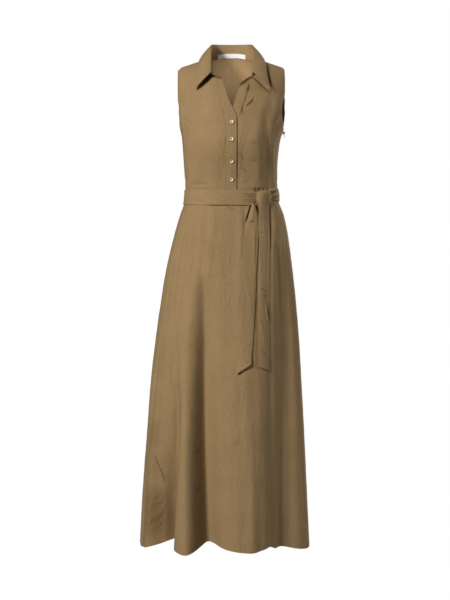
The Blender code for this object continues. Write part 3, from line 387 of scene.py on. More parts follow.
# Slow unevenness of hung cloth: how many waves, their least and most turns round the dress, their
# least and most length along it, their height and the seed they are drawn with.
SKIRT_WAVES = (28, 10, 40, 0.45, 1.60, 0.0006, 11)
BODICE_WAVES = (26, 8, 28, 0.08, 0.30, 0.0004, 23)
CRUMPLE_WAVES = (40, 40, 120, 0.03, 0.12, 0.00012, 37)
BELT_WAVES = (18, 3, 16, 0.05, 0.30, 0.0005, 5)


# ---------------------------------------------------------------- formulas of the form

def curve_through(knots, values, at):
    """Cubic through the knots whose slopes are harmonic means, so that it never overshoots."""
    order = np.argsort(knots)
    knots = np.asarray(knots, float)[order]
    values = np.asarray(values, float)[order]
    step = np.diff(knots)
    slope = np.diff(values) / step
    tangent = np.zeros_like(values)
    same_way = slope[:-1] * slope[1:] > 0
    tangent[1:-1][same_way] = 2 / (1 / slope[:-1][same_way] + 1 / slope[1:][same_way])
    tangent[0] = slope[0]
    tangent[-1] = slope[-1]
    at = np.clip(at, knots[0], knots[-1])
    i = np.clip(np.searchsorted(knots, at) - 1, 0, len(step) - 1)
    t = (at - knots[i]) / step[i]
    start = (1 + 2 * t) * (1 - t) ** 2 * values[i] + t * (1 - t) ** 2 * tangent[i] * step[i]
    end = t * t * (3 - 2 * t) * values[i + 1] + t * t * (t - 1) * tangent[i + 1] * step[i]
    return start + end


def ring_value(name, level):
    """A column of RINGS at any level."""
    return curve_through(RINGS["level"], RINGS[name], level)


def edge_across(line, height):
    """Distance from the centre line of a front edge, at a height."""
    return curve_through(line[:, 0], line[:, 1], height)


def smooth_step(value, start, end):
    """0 before start, 1 after end, and 3t^2 - 2t^3 between."""
    t = np.clip((value - start) / (end - start), 0, 1)
    return t * t * (3 - 2 * t)


def plateau(value, rise_start, rise_end, fall_start, fall_end):
    """0, up to 1 over the first two places, and back to 0 over the last two."""
    return smooth_step(value, rise_start, rise_end) * (1 - smooth_step(value, fall_start, fall_end))


def eased(count, ease=0.85):
    """Shares from 0 to 1 that lie closer together at both ends: t - ease sin(2 pi t) / (2 pi)."""
    t = np.linspace(0, 1, count)
    return t - ease * np.sin(2 * np.pi * t) / (2 * np.pi)


def cap(level, depth, power):
    """Fullness of a ring near the shoulder: a superellipse quarter of the given depth."""
    share = np.clip(1 + level / depth, 0, 1)
    return (1 - share ** power) ** (1 / power)


def shoulder_height(across, at_back):
    """Height of the shoulder line: a straight slope outside the neck, a parabola behind it."""
    out = np.abs(across)
    inner = np.clip(out / NECK_HALF_WIDTH, 0, 1)
    rise = np.where(at_back, (BACK_NECK_RISE + NECK_SHOULDER_DROP) * (1 - inner ** 2), 0)
    slope = SHOULDER_SLOPE * np.clip(out - NECK_HALF_WIDTH, 0, None)
    tip = SHOULDER_TIP_ROUNDING * smooth_step(out, SHOULDER_TIP, SHOULDER_TIP + SHOULDER_TIP_LENGTH)
    return rise - NECK_SHOULDER_DROP - slope - tip


def fold_height(angle, level):
    """Sum of lopsided Gaussian folds whose middles drift and whose heights grow to the hem."""
    total = np.zeros(np.broadcast(angle, level).shape)
    for start, angle_top, angle_hem, before, after, height in FOLDS:
        share = np.clip((level - start) / (HEM_Z - start), 0, FOLD_REACH)
        away = (angle - angle_top - (angle_hem - angle_top) * share + 180) % 360 - 180
        half_width = np.where(away < 0, before, after)
        total = total + height * share ** FOLD_GROWTH * np.exp(-(away / half_width) ** 2)
    return total


def tilt(level):
    """Share of the shoulder line's slope that a level takes on, from 1 at the shoulder to 0."""
    return 1 - smooth_step(-level, TILT_FULL, TILT_START)


def body_point(angle, level, lift=0.0):
    """Outer face of the form: a superellipse ring at each level, raised to the shoulder line.

    angle is in degrees from the front centre towards the wearer's left, and lift moves the
    point straight out of its ring.
    """
    angle, level = np.broadcast_arrays(np.asarray(angle, float), np.asarray(level, float))
    sine = np.sin(np.radians(angle))
    cosine = np.cos(np.radians(angle))
    power = 2 / ring_value("square", level)
    width = np.where(sine < 0, ring_value("right", level), ring_value("left", level))
    depth = np.where(cosine > 0, ring_value("front", level) * cap(level, *FRONT_CAP),
                     ring_value("back", level) * cap(level, *BACK_CAP))
    x = width * np.sign(sine) * np.abs(sine) ** power
    y = -depth * np.sign(cosine) * np.abs(cosine) ** power
    out_x = sine / width
    out_y = -cosine / np.maximum(depth, LEAST_DEPTH)
    reach = (fold_height(angle, level) + lift) / np.hypot(out_x, out_y)
    z = level + tilt(level) * shoulder_height(x, cosine < 0)
    return np.stack((x + out_x * reach, y + out_y * reach, z), axis=-1)


def angle_at(across, level):
    """Ring angle of a front point, the superellipse's formula turned round."""
    width = np.where(across < 0, ring_value("right", level), ring_value("left", level))
    share = np.clip(np.abs(across) / width, 0, 1) ** (ring_value("square", level) / 2)
    return np.sign(across) * np.degrees(np.arcsin(share))


def angle_seen(across, level):
    """Ring angle of the foremost point whose distance from the centre line is given."""
    angle = np.linspace(-100, 100, 801)
    points = body_point(angle[:, None], level[None, :])
    miss = np.abs(points[..., 0] - across) + 0.02 * (points[..., 1] - points[..., 1].min(axis=0))
    return angle[np.argmin(miss, axis=0)]


def height_at(level):
    """Height of a level near the front centre."""
    return level - tilt(level) * NECK_SHOULDER_DROP


def level_at(height):
    """Level of a point near the front centre from its height, by repeated substitution."""
    level = np.asarray(height, float)
    for _ in range(8):
        level = height + tilt(level) * NECK_SHOULDER_DROP
    return level


# ---------------------------------------------------------------- how the cloth hangs

def crease_line(row, on_front):
    """A crease's middle line in space: straight between its ends, bowed by a half sine."""
    first, high, second, low, bow = row[:5]
    share = np.linspace(0, 1, CREASE_STEPS)
    bowed = bow * np.sin(np.pi * share)
    upright = abs(high - low) > UPRIGHT_CREASE
    place = first + (second - first) * share
    height = high + (low - high) * share + (0 if upright else bowed)
    sideways = bowed if upright else 0
    if on_front:
        level = level_at(height)
        return body_point(angle_seen(place + sideways, level), level)
    return body_point(place + np.degrees(sideways / ring_value("left", height)), height)


def creases_of(rows, on_front=True):
    """Every crease of a table as its line, half width and height."""
    thousand = 1000 if on_front else 1
    rows = np.array(rows, float) / (thousand, 1000, thousand, 1000, 1000, 1000, 1000)
    return [(crease_line(row, on_front), row[5], row[6]) for row in rows]


def crumples_of(rows, on_front=True):
    """Every crumpled place of a table as its middle, reach across, reach up and strength."""
    rows = np.array(rows, float) / (1000 if on_front else 1, 1000, 1000, 1000, 1)
    angles = [angle_seen(row[0], row[1:2])[0] if on_front else row[0] for row in rows]
    return [(body_point(angle, row[1]), *row[2:]) for angle, row in zip(angles, rows)]


def beside_line(points, line):
    """Distance of points to a line of straight steps, and the share of the way along it."""
    step = np.diff(line, axis=0)
    away = points[:, None, :] - line[:-1]
    share = np.clip(np.sum(away * step, axis=-1) / np.sum(step * step, axis=-1), 0, 1)
    gap = np.linalg.norm(away - share[..., None] * step, axis=-1)
    nearest = np.argmin(gap, axis=1)
    rows = np.arange(len(points))
    return gap[rows, nearest], (nearest + share[rows, nearest]) / len(step)


def crease_height(points, creases):
    """Sum of creases at points: each a Gaussian across its line that tapers at both ends."""
    flat = points.reshape(-1, 3)
    total = np.zeros(len(flat))
    for line, half_width, height in creases:
        reach = CREASE_REACH * half_width
        near = np.all((flat > line.min(axis=0) - reach) & (flat < line.max(axis=0) + reach), axis=1)
        if near.any():
            gap, share = beside_line(flat[near], line)
            taper = np.sin(np.pi * np.clip(share, 0, 1)) ** CREASE_TAPER
            total[near] += height * taper * np.exp(-(gap / half_width) ** 2)
    return total.reshape(points.shape[:-1])


def waves(angle, level, row):
    """Sum of sines with whole turns round the dress and drawn lengths along it."""
    count, fewest, most, shortest, longest, height, seed = row
    draw = np.random.default_rng(seed)
    total = np.zeros(np.broadcast(angle, level).shape)
    for _ in range(count):
        turns = draw.integers(fewest, most)
        length = draw.uniform(shortest, longest) * draw.choice((-1, 1))
        phase = draw.uniform(0, 2 * np.pi)
        total = total + np.sin(np.radians(angle) * turns + 2 * np.pi * level / length + phase)
    return height * total / math.sqrt(count / 2)


CREASES = creases_of(FRONT_CREASES) + creases_of(ROUND_CREASES, False)
CRUMPLED_PLACES = crumples_of(FRONT_CRUMPLES) + crumples_of(ROUND_CRUMPLES, False)


def armhole_flare(angle, level):
    """The cloth stands out a little round the armholes: a bump over angle and height."""
    height, reach, middle, rise = ARMHOLE_FLARE
    to_side = np.abs((angle + 180) % 360 - 180) - 90
    return height * np.exp(-(to_side / reach) ** 4 - ((level - middle) / rise) ** 4)


def hang(angle, level):
    """How far the cloth stands out of the form: its creases and its slow unevenness."""
    near_belt = (smooth_step(level, BELT_TOP, BELT_TOP + BELT_CLEARANCE)
                 + smooth_step(-level, -BELT_BOTTOM, -BELT_BOTTOM + BELT_CLEARANCE))
    in_skirt = smooth_step(-level, -WAIST_Z, -WAIST_Z + SKIRT_UNEVEN)
    on_bodice = (smooth_step(level, WAIST_Z, WAIST_Z + BODICE_UNEVEN)
                 * smooth_step(-level, *SHOULDER_EVEN))
    uneven = (in_skirt * waves(angle, level, SKIRT_WAVES)
              + on_bodice * waves(angle, level, BODICE_WAVES)
              + (in_skirt + on_bodice) * waves(angle, level, CRUMPLE_WAVES))
    creased = crease_height(body_point(angle, level), CREASES) + uneven
    strength = bpy.context.scene.dress_cloth.crease_strength
    return strength * near_belt * creased + armhole_flare(angle, level)


def upper_lift(across):
    """The upper front rises over the under one towards its free edge."""
    return UPPER_LIFT * smooth_step(across, LIFT_FROM, LIFT_TO)


def no_lift(across):
    """A piece on the form's own face."""
    return 0.0 * across


# ---------------------------------------------------------------- meshes

SHARP_ANGLE = math.radians(50)
GRIDS = {}                   # outer grid and normals of each cloth piece, for its stitches


def unit(vectors):
    """Vectors of length one."""
    return vectors / np.maximum(np.linalg.norm(vectors, axis=-1, keepdims=True), 1e-12)


def grid_normals(grid, closed=False):
    """Normals of a grid: the cross product of its two central differences."""
    if closed:
        along = np.roll(grid, -1, axis=1) - np.roll(grid, 1, axis=1)
    else:
        along = np.gradient(grid, axis=1)
    return unit(np.cross(along, np.gradient(grid, axis=0)))


def run_of(points):
    """Running length along a line of points."""
    return np.concatenate(([0], np.cumsum(np.linalg.norm(np.diff(points, axis=0), axis=1))))


def lengths_along(grid, axis):
    """Running length of a grid's lines along one axis."""
    steps = np.linalg.norm(np.diff(grid, axis=axis), axis=-1)
    total = np.cumsum(steps, axis=axis)
    return np.concatenate((np.zeros_like(np.take(total, [0], axis=axis)), total), axis=axis)


def at_places(places, along, values):
    """Vectors between the ones that are given along a line."""
    return np.stack([np.interp(places, along, values[:, axis]) for axis in range(3)], axis=-1)


def grain_of(grid):
    """Cloth directions in metres: length across from the middle column, and length down."""
    across = lengths_along(grid, 1)
    across = across - across[:, across.shape[1] // 2][:, None]
    return np.stack((across, lengths_along(grid, 0)), axis=-1)


def grid_faces(rows, columns, closed=False):
    """Numbers of a grid's points, and its quads."""
    index = np.arange(rows * columns).reshape(rows, columns)
    if closed:
        index = np.concatenate((index, index[:, :1]), axis=1)
    corners = (index[:-1, :-1], index[:-1, 1:], index[1:, 1:], index[1:, :-1])
    return index, np.stack(corners, axis=-1).reshape(-1, 4)


def signed_volume(points, quads):
    """Volume inside quads, from the tetrahedra of their triangles to the origin."""
    a, b, c, d = (points[quads[:, i]] for i in range(4))
    return float(np.sum(a * np.cross(b, c)) + np.sum(a * np.cross(c, d))) / 6


def new_object(name, points, quads, finish, grain=None, caps=(), masks=None):
    """A smooth mesh object from arrays, riding on the dress.

    grain is one UV pair for each point, caps are more faces, and masks holds named values for
    each point.
    """
    mesh = bpy.data.meshes.new(name)
    if len(caps):
        mesh.from_pydata(points.tolist(), [], quads.tolist() + [list(face) for face in caps])
    else:
        mesh.vertices.add(len(points))
        mesh.vertices.foreach_set("co", points.astype(np.float32).ravel())
        mesh.loops.add(quads.size)
        mesh.loops.foreach_set("vertex_index", quads.astype(np.int32).ravel())
        mesh.polygons.add(len(quads))
        mesh.polygons.foreach_set("loop_start", np.arange(0, quads.size, 4, dtype=np.int32))
        mesh.update(calc_edges=True)
    mesh.validate()
    if grain is not None:
        corners = np.zeros(len(mesh.loops), np.int32)
        mesh.loops.foreach_get("vertex_index", corners)
        layer = mesh.uv_layers.new(name="grain")
        layer.data.foreach_set("uv", grain[corners].astype(np.float32).ravel())
    for key, values in (masks or {}).items():
        place = mesh.attributes.new(key, "FLOAT", "POINT")
        place.data.foreach_set("value", values.astype(np.float32))
    mesh.shade_smooth()
    mesh.set_sharp_from_angle(angle=SHARP_ANGLE)
    mesh.materials.append(finish_of(finish))
    made = bpy.data.objects.new(name, mesh)
    bpy.context.scene.collection.objects.link(made)
    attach(made, "dress")
    return made


def shell(name, outer, inner, finish="cloth", closed=False, masks=None):
    """A closed wall between two grids, its faces pointing out: two sides and a rim of quads."""
    index, side = grid_faces(*outer.shape[:2], closed)
    count = outer.shape[0] * outer.shape[1]
    borders = [index[0], index[-1][::-1]] if closed else [
        np.concatenate((index[0], index[1:, -1], index[-1, -2::-1], index[-2::-1, 0]))]
    faces = [side, side[:, ::-1] + count]
    for border in borders:
        a, b = border[:-1], border[1:]
        faces.append(np.stack((b, a, a + count, b + count), axis=-1))
    quads = np.concatenate(faces)
    points = np.concatenate((outer.reshape(-1, 3), inner.reshape(-1, 3)))
    if signed_volume(points, quads) < 0:
        quads = quads[:, ::-1]
    grain = np.tile(grain_of(outer).reshape(-1, 2), (2, 1))
    masks = {key: np.concatenate((values.ravel(), 0 * values.ravel()))
             for key, values in (masks or {}).items()}
    return new_object(name, points, quads, finish, grain, masks=masks)


def masks_at(points, creases):
    """How deep in a narrow trough each point lies, as painted shade, and how crumpled the cloth is
    there.
    """
    narrow = [line for line in creases if line[1] <= PAINTED_SHADE_HALF_WIDTH and line[2] < 0]
    # how crumpled the cloth is, for its fine bumps and its painted light and shade
    crumpled = np.zeros(points.shape[:-1])
    for place, reach, rise, strength in CRUMPLED_PLACES:
        x, y, z = np.moveaxis(points - place, -1, 0)
        blob = np.exp(-(np.hypot(x, y) / reach) ** 4 - (z / rise) ** 4)
        crumpled = np.maximum(crumpled, strength * blob)
    # painted shade: full in a narrow trough of the given depth
    painted_shade = np.clip(-crease_height(points, narrow) / PAINTED_SHADE_DEPTH, 0, 1)
    return {"painted_shade": painted_shade, "crumpled": crumpled}


def cloth_shell(name, plain, outer, thickness, creases, closed=False):
    """A cloth piece from its outer face and its wall, and its masks from its face without creases.

    The normals are those that turn away from the dress's middle in the lower half.
    """
    normal = grid_normals(outer, closed)
    half = len(outer) // 2
    if np.sum((normal * outer)[half:, :, :2]) < 0:
        normal = -normal
    GRIDS[name] = (outer, normal)
    wall = normal * np.reshape(thickness, np.shape(thickness) + (1,))
    return shell(name, outer, outer - wall, closed=closed, masks=masks_at(plain, creases))


def edge_roll(grid, sewn, depth, width):
    """Distance a panel's border sinks: a Gaussian of the length to each sewn edge."""
    across = lengths_along(grid, 1)
    down = lengths_along(grid, 0)
    to_edge = {"start": across, "end": across[:, -1:] - across, "top": down}
    return depth * sum(np.exp(-(to_edge[side] / width) ** 2) for side in sewn)


def cloth_on_form(name, angle, level, sewn, lift=no_lift, thickness=None, own_creases=()):
    """A cloth piece on the form at a grid of angles and levels, with creases and rolled seams."""
    sizes = bpy.context.scene.dress_cloth
    plain = body_point(angle, level)
    roll = edge_roll(plain, sewn, sizes.seam_depth, sizes.seam_width)
    pressed = (np.abs(plain[..., 0]) < PRESSED_REACH) & (plain[..., 1] < 0) & (level < WAIST_Z)
    pressed = pressed * (PRESSED_ABOVE + (1 - PRESSED_ABOVE) * smooth_step(-level, *PRESSED_BELOW))
    out = (lift(plain[..., 0]) + hang(angle, level) + crease_height(plain, own_creases)
           - roll * (1 - pressed))
    return cloth_shell(name, plain, body_point(angle, level, out),
                       sizes.cloth_thickness if thickness is None else thickness,
                       CREASES + list(own_creases))


# ---------------------------------------------------------------- shader nodes

THREADS_PER_METRE = 2100.0
WEFT_SLUB = (38.0, 900.0)    # how often slubs come across and down, in a metre
WARP_SLUB = (800.0, 26.0)
WEFT_SHARE = 0.6             # the weft's share of the slubs
CLOTH_ROUGHNESS = (0.76, 0.2)  # at the thinnest thread, and how much more on slubs
PINCHES = (28.0, 230.0)      # the same for the fine crumples,
PINCH_TURN = 0.87            # which slant by this much, in radians
FLECK_SCALE = 170.0
CLOUD_SCALE = 14.0
# The pinch's tone is painted light and shade along the crumples, and the shade is painted shade.
TONE = {"fleck": 0.9, "cloud": 0.55, "thread": 0.12, "pinch": 3.5}   # how far each shifts the tone,
RELIEF = {"thread": 0.35, "slub": 1.6, "pinch": 14.0}                # the height,
SHADE = {"crumpled": 0.46, "pinch": 1.5}                             # and the shade
PAINTED_SHADE_STRENGTH = 0.85          # how far painted shade takes cloth in a narrow trough to the shade colour
# A button's darker rim is partly painted shadow, and its dark centre is painted shade where the
# holes are.
BUTTON_RIM_AND_SHADOW = (0.74, 0.85)    # shares of a button's radius between which its rim darkens,
BUTTON_CENTRE_SHADE = (0.50, 0.32)  # and its centre,
CENTRE_SHARE = 0.80          # by this share of the rim
ZIP_COLOURS = ((0.50, 0.47, 0.50), (0.36, 0.34, 0.37))


def set_inputs(tree, node, inputs):
    """Sets a node's inputs to values or links them to sockets."""
    for key, value in inputs.items():
        value = getattr(value, "socket", value)
        if isinstance(value, bpy.types.NodeSocket):
            tree.links.new(value, node.inputs[key])
        else:
            node.inputs[key].default_value = value


def add_node(tree, kind, inputs, **settings):
    """A node with its settings, and its inputs set to values or linked to sockets."""
    made = tree.nodes.new(kind)
    for key, value in settings.items():
        setattr(made, key, value)
    set_inputs(tree, made, inputs)
    return made


class Value:
    """A number that nodes work out, so that formulas read as sums and products of numbers."""

    def __init__(self, tree, socket):
        self.tree = tree
        self.socket = socket

    def math(self, operation, *others):
        """The output of a Math node."""
        inputs = dict(enumerate((self, *others)))
        made = add_node(self.tree, "ShaderNodeMath", inputs, operation=operation)
        return Value(self.tree, made.outputs[0])

    def __add__(self, other):
        return self.math("ADD", other)

    def __sub__(self, other):
        return self.math("SUBTRACT", other)

    def __mul__(self, other):
        return self.math("MULTIPLY", other)


def noise(tree, place, scale, detail, roughness=0.5):
    """Noise in space or over a surface."""
    inputs = {"Vector": place, "Scale": scale, "Detail": detail, "Roughness": roughness}
    return Value(tree, add_node(tree, "ShaderNodeTexNoise", inputs).outputs["Fac"])


def streaks(tree, grain, often, detail=3.0):
    """Noise drawn out along one direction of the cloth, from how often it comes across and down."""
    stretched = add_node(tree, "ShaderNodeVectorMath", {0: grain, 1: (*often, 1.0)},
                         operation="MULTIPLY")
    return noise(tree, stretched.outputs[0], 1.0, detail, 0.6)


def mixed(tree, share, first, second):
    """Two colours mixed by a share."""
    inputs = {0: share, 6: first, 7: second}
    return add_node(tree, "ShaderNodeMix", inputs, data_type="RGBA").outputs[2]


def attribute(tree, name):
    """A named value of the mesh's points."""
    made = add_node(tree, "ShaderNodeAttribute", {}, attribute_name=name)
    return Value(tree, made.outputs["Fac"])


def woven_cloth_group():
    """Plain weave with slubs: puts out a colour, a height, a roughness and a painted shade.

    The threads are the product of two sines at the thread spacing. Slubs are noise stretched
    along the weft and the warp. A slow noise in space makes the cloth slightly uneven, and
    slanting streaks pinch it where it is crumpled, painting light and shade into its colour
    and painted shade into the shade it puts out.
    """
    tree = bpy.data.node_groups.new("woven_cloth", "ShaderNodeTree")
    for way, kind, names in (
            ("INPUT", "Vector", ("Grain", "Place")),
            ("INPUT", "Color", ("Light thread", "Dark thread")),
            ("INPUT", "Float", ("Threads per metre", "Slub contrast", "Crumpled")),
            ("OUTPUT", "Color", ("Color",)), ("OUTPUT", "Float", ("Height", "Roughness", "Shade"))):
        for name in names:
            tree.interface.new_socket(name=name, in_out=way, socket_type=f"NodeSocket{kind}")
    given = tree.nodes.new("NodeGroupInput").outputs
    grain, place, crumpled = given["Grain"], given["Place"], Value(tree, given["Crumpled"])
    turns = Value(tree, given["Threads per metre"]) * math.pi
    split = add_node(tree, "ShaderNodeSeparateXYZ", {0: grain}).outputs
    warp, weft = ((turns * split[axis]).math("SINE") for axis in "XY")
    weave = warp * weft
    slub = (streaks(tree, grain, WEFT_SLUB) * WEFT_SHARE
            + streaks(tree, grain, WARP_SLUB) * (1 - WEFT_SHARE))
    fleck = noise(tree, place, FLECK_SCALE, 3.0, 0.65)
    cloudy = noise(tree, place, CLOUD_SCALE, 2.0)
    turned = add_node(tree, "ShaderNodeMapping", {"Vector": grain, "Rotation": (0, 0, PINCH_TURN)})
    pinched = (streaks(tree, turned.outputs[0], PINCHES, 1.0) - 0.5) * crumpled
    # the pinch term paints light and shade of the crumples into the tone
    tone = ((slub - 0.5) * given["Slub contrast"] + 0.5 + (fleck - 0.5) * TONE["fleck"]
            + (cloudy - 0.5) * TONE["cloud"] + weave * TONE["thread"] + pinched * TONE["pinch"])
    add_node(tree, "NodeGroupOutput", {
        "Color": mixed(tree, tone, given["Dark thread"], given["Light thread"]),
        "Height": weave * RELIEF["thread"] + slub * RELIEF["slub"] + pinched * RELIEF["pinch"],
        "Roughness": slub * CLOTH_ROUGHNESS[1] + CLOTH_ROUGHNESS[0],
        "Shade": crumpled * SHADE["crumpled"] + pinched * SHADE["pinch"]})
    return tree


def start_material(name):
    """A material, its tree, its Principled shader, and its coordinates."""
    made = bpy.data.materials.new(name)
    made.use_nodes = True
    tree = made.node_tree
    place = tree.nodes.new("ShaderNodeTexCoord").outputs
    return made, tree, tree.nodes["Principled BSDF"], place


def bump(tree, height, strength, distance):
    """Normals that a height tilts."""
    inputs = {"Strength": strength, "Distance": distance, "Height": height}
    return add_node(tree, "ShaderNodeBump", inputs).outputs[0]


def cloth_material(name, group, light, dark, relief, contrast, painted_shade=(0.0, 0.0, 0.0)):
    """Woven cloth in two thread colours, with painted shade in its narrow hollows and where it is
    crumpled.
    """
    finish, tree, shader, place = start_material(name)
    woven = add_node(tree, "ShaderNodeGroup", {
        "Grain": place["UV"], "Place": place["Object"], "Light thread": (*light, 1),
        "Dark thread": (*dark, 1), "Threads per metre": THREADS_PER_METRE,
        "Slub contrast": contrast, "Crumpled": attribute(tree, "crumpled"),
    }, node_tree=group).outputs
    # painted shade: the narrow troughs' mask or the crumples' shade, whichever is more, mixes the
    # cloth towards the shade colour
    darker = (attribute(tree, "painted_shade") * PAINTED_SHADE_STRENGTH).math("MAXIMUM", woven["Shade"])
    set_inputs(tree, shader, {
        "Base Color": mixed(tree, darker, woven["Color"], (*painted_shade, 1)),
        "Roughness": woven["Roughness"], "Normal": bump(tree, woven["Height"], relief, 0.0003),
        "Specular IOR Level": 0.12, "Sheen Weight": 0.04, "Sheen Tint": (*light, 1),
        "Sheen Roughness": 0.5})
    return finish


def noise_material(name, colours, scale, roughness, values, stretch=(1, 1, 1)):
    """Two colours mixed by a stretched noise in space, with a slight bump of the same noise."""
    finish, tree, shader, place = start_material(name)
    placed = add_node(tree, "ShaderNodeMapping", {"Vector": place["Object"], "Scale": stretch})
    uneven = noise(tree, placed.outputs[0], scale, 4.0, 0.6)
    set_inputs(tree, shader, {
        "Base Color": mixed(tree, uneven, *((*colour, 1) for colour in colours)),
        "Roughness": uneven * 0.2 + (roughness - 0.1), "Normal": bump(tree, uneven, 0.1, 0.0001),
        **values})
    return finish


def paint_button_rim_and_shade(finish, colour):
    """Mixes in a colour by the radius in the first UV value: a darker rim, partly painted shadow,
    and painted shade in the centre.
    """
    tree = finish.node_tree
    inputs = tree.nodes["Principled BSDF"].inputs
    plain = inputs["Base Color"].links[0].from_socket
    uv = tree.nodes.new("ShaderNodeTexCoord").outputs["UV"]
    radius = add_node(tree, "ShaderNodeSeparateXYZ", {0: uv}).outputs["X"]
    rim, centre = (add_node(tree, "ShaderNodeMapRange", {
        "Value": radius, "From Min": start, "From Max": end}).outputs[0]
                   for start, end in (BUTTON_RIM_AND_SHADOW, BUTTON_CENTRE_SHADE))
    share = (Value(tree, centre) * CENTRE_SHARE).math("MAXIMUM", rim)
    tree.links.new(mixed(tree, share, plain, (*colour, 1)), inputs["Base Color"])


FINISHES = {}


def shades(colour, first, second):
    """A colour in two strengths."""
    return [[strength * part for part in colour] for strength in (first, second)]


def finish_of(name):
    """The named finish, made the first time it is asked for."""
    if not FINISHES:
        look = bpy.context.scene.dress_colours
        weave = woven_cloth_group()
        light = look.light_thread
        FINISHES["cloth"] = cloth_material("khaki_cloth", weave, light, look.dark_thread, 0.5, 1.3,
                                           look.painted_shade)
        FINISHES["label"] = cloth_material("label_satin", weave, *shades(look.label, 1, 0.9), 0.1,
                                           0.4)
        FINISHES["thread"] = noise_material("sewing_thread", shades(light, 0.80, 1.05), 900.0, 0.7,
                                            {"Specular IOR Level": 0.3})
        FINISHES["button"] = noise_material("horn_button", shades(look.button, 1, 0.78), 260.0,
                                            0.32, {"Coat Weight": 0.4}, (1.0, 1.0, 2.6))
        FINISHES["metal"] = noise_material("zip_metal", ZIP_COLOURS, 900.0, 0.36, {"Metallic": 1.0},
                                           (1.0, 1.0, 0.15))
        paint_button_rim_and_shade(FINISHES["button"], look.button_rim_and_shade)
    return FINISHES[name]


# ---------------------------------------------------------------- bodice

def top_level(which, depth, power):
    """The level at which a ring is half a seam deep, next to the shoulder line."""
    share = SEAM / 2 / ring_value(which, 0.0)
    return float(depth * ((1 - share ** power) ** (1 / power) - 1))


def bodice_levels(which, cap_shape, rows):
    """Levels from the shoulder to the waist seam, closer together near the shoulder."""
    top = top_level(which, *cap_shape)
    share = np.linspace(0, 1, rows)
    crowded, power = LEVEL_CROWDING
    down = crowded * share ** power + (1 - crowded) * share
    return top + (WAIST_Z + SEAM / 2 - top) * down


def armhole_angle(level, which):
    """Angle between the side line and the armhole edge, and half a seam's room below it."""
    gap = np.degrees(SEAM / 2 / ring_value("left", level))
    above = curve_through(ARMHOLE["level"], ARMHOLE[which], level)
    return gap + np.where(level <= UNDERARM_Z, 0, above)


def front_panel(name, stitched_edge, neck_edge, side, lift):
    """A bodice front between its band's seam or the neckline and the side seam or armhole."""
    columns, rows = GRID_SIZES["front"]
    share, level = np.meshgrid(eased(columns), bodice_levels("front", FRONT_CAP, rows))
    line = np.concatenate((neck_edge, stitched_edge[1:]))
    start = angle_at(edge_across(line, height_at(level)) + side * SEAM / 2, level)
    armhole = armhole_angle(level, "front") * (RIGHT_ARMHOLE_SHARE if side < 0 else 1.0)
    angle = start + (side * (90 - armhole) - start) * share
    return cloth_on_form(name, angle, level, ("start", "end", "top"), lift)


def back_neck_across(level):
    """Half width of the back neckline, a superellipse in plan."""
    depth = ring_value("back", level) * cap(level, *BACK_CAP)
    share = np.clip(depth / BACK_NECK_DEPTH, 0, 1)
    return NECK_HALF_WIDTH * (1 - share ** NECK_PLAN_POWER) ** (1 / NECK_PLAN_POWER)


def back_panel(name, side):
    """A bodice back between the centre-back seam or the neckline and the side or armhole."""
    columns, rows = GRID_SIZES["back"]
    share, level = np.meshgrid(eased(columns), bodice_levels("back", BACK_CAP, rows))
    start = side * 180 - angle_at(side * (back_neck_across(level) + SEAM / 2), level)
    end = side * (90 + armhole_angle(level, "back"))
    return cloth_on_form(name, start + (end - start) * share, level, ("start", "end", "top"))


def front_band(name, free_edge, stitched_edge, side, lift):
    """A front band from its free edge to its panel's seam, its top slanting with the neck."""
    columns, rows = GRID_SIZES["band"]
    share, down = np.meshgrid(eased(columns, 0.7), np.linspace(0, 1, rows))
    top = free_edge[0, 0] + (stitched_edge[0, 0] - free_edge[0, 0]) * share
    height = top + (height_at(WAIST_Z + SEAM / 2) - top) * down
    free = edge_across(free_edge, height)
    sewn = edge_across(stitched_edge, height) - side * SEAM / 2
    level = level_at(height)
    return cloth_on_form(name, angle_at(free + (sewn - free) * share, level), level, ("end",), lift,
                         bpy.context.scene.dress_cloth.doubled_thickness)


# ---------------------------------------------------------------- collar and label

def neck_seam(side, lift):
    """Points of the neckline from the centre back to the collar's front end, evenly spaced."""
    neck_edge = NECK_EDGE_RIGHT if side < 0 else NECK_EDGE_LEFT
    share = np.linspace(0, 1, 160)
    level = BACK_NECK_LEVEL * (1 - share) ** 2
    back = body_point(side * 180 - angle_at(side * back_neck_across(level), level), level)
    height = neck_edge[0, 0] + (neck_edge[-2, 0] - neck_edge[0, 0]) * share ** 1.6
    level = level_at(height)
    across = edge_across(neck_edge, height)
    points = np.concatenate((back, body_point(angle_at(across, level), level, lift(across))[1:]))
    length = run_of(points)
    return at_places(np.linspace(0, length[-1], COLLAR_STATIONS), length, points)


def collar_guides():
    """Seam, fold and outer edge of the whole collar, from the wearer's right end to the left."""
    shares = np.linspace(0, 1, COLLAR_STATIONS)
    fold, edge_line = (np.stack([curve_through(COLLAR["share"], COLLAR[f"{line}_{axis}"], shares)
                                 for axis in "xyz"], axis=-1) for line in ("fold", "edge"))
    shift = np.outer(smooth_step(shares, 0.4, 1.0), (COLLAR_FRONT_SHIFT, 0, 0))
    halves = ((neck_seam(-1, upper_lift), neck_seam(1, no_lift)), (fold * (-1, 1, 1), fold),
              (edge_line * (-1, 1, 1) + shift, edge_line + shift))
    return [np.concatenate((right[:0:-1], left)) for right, left in halves]


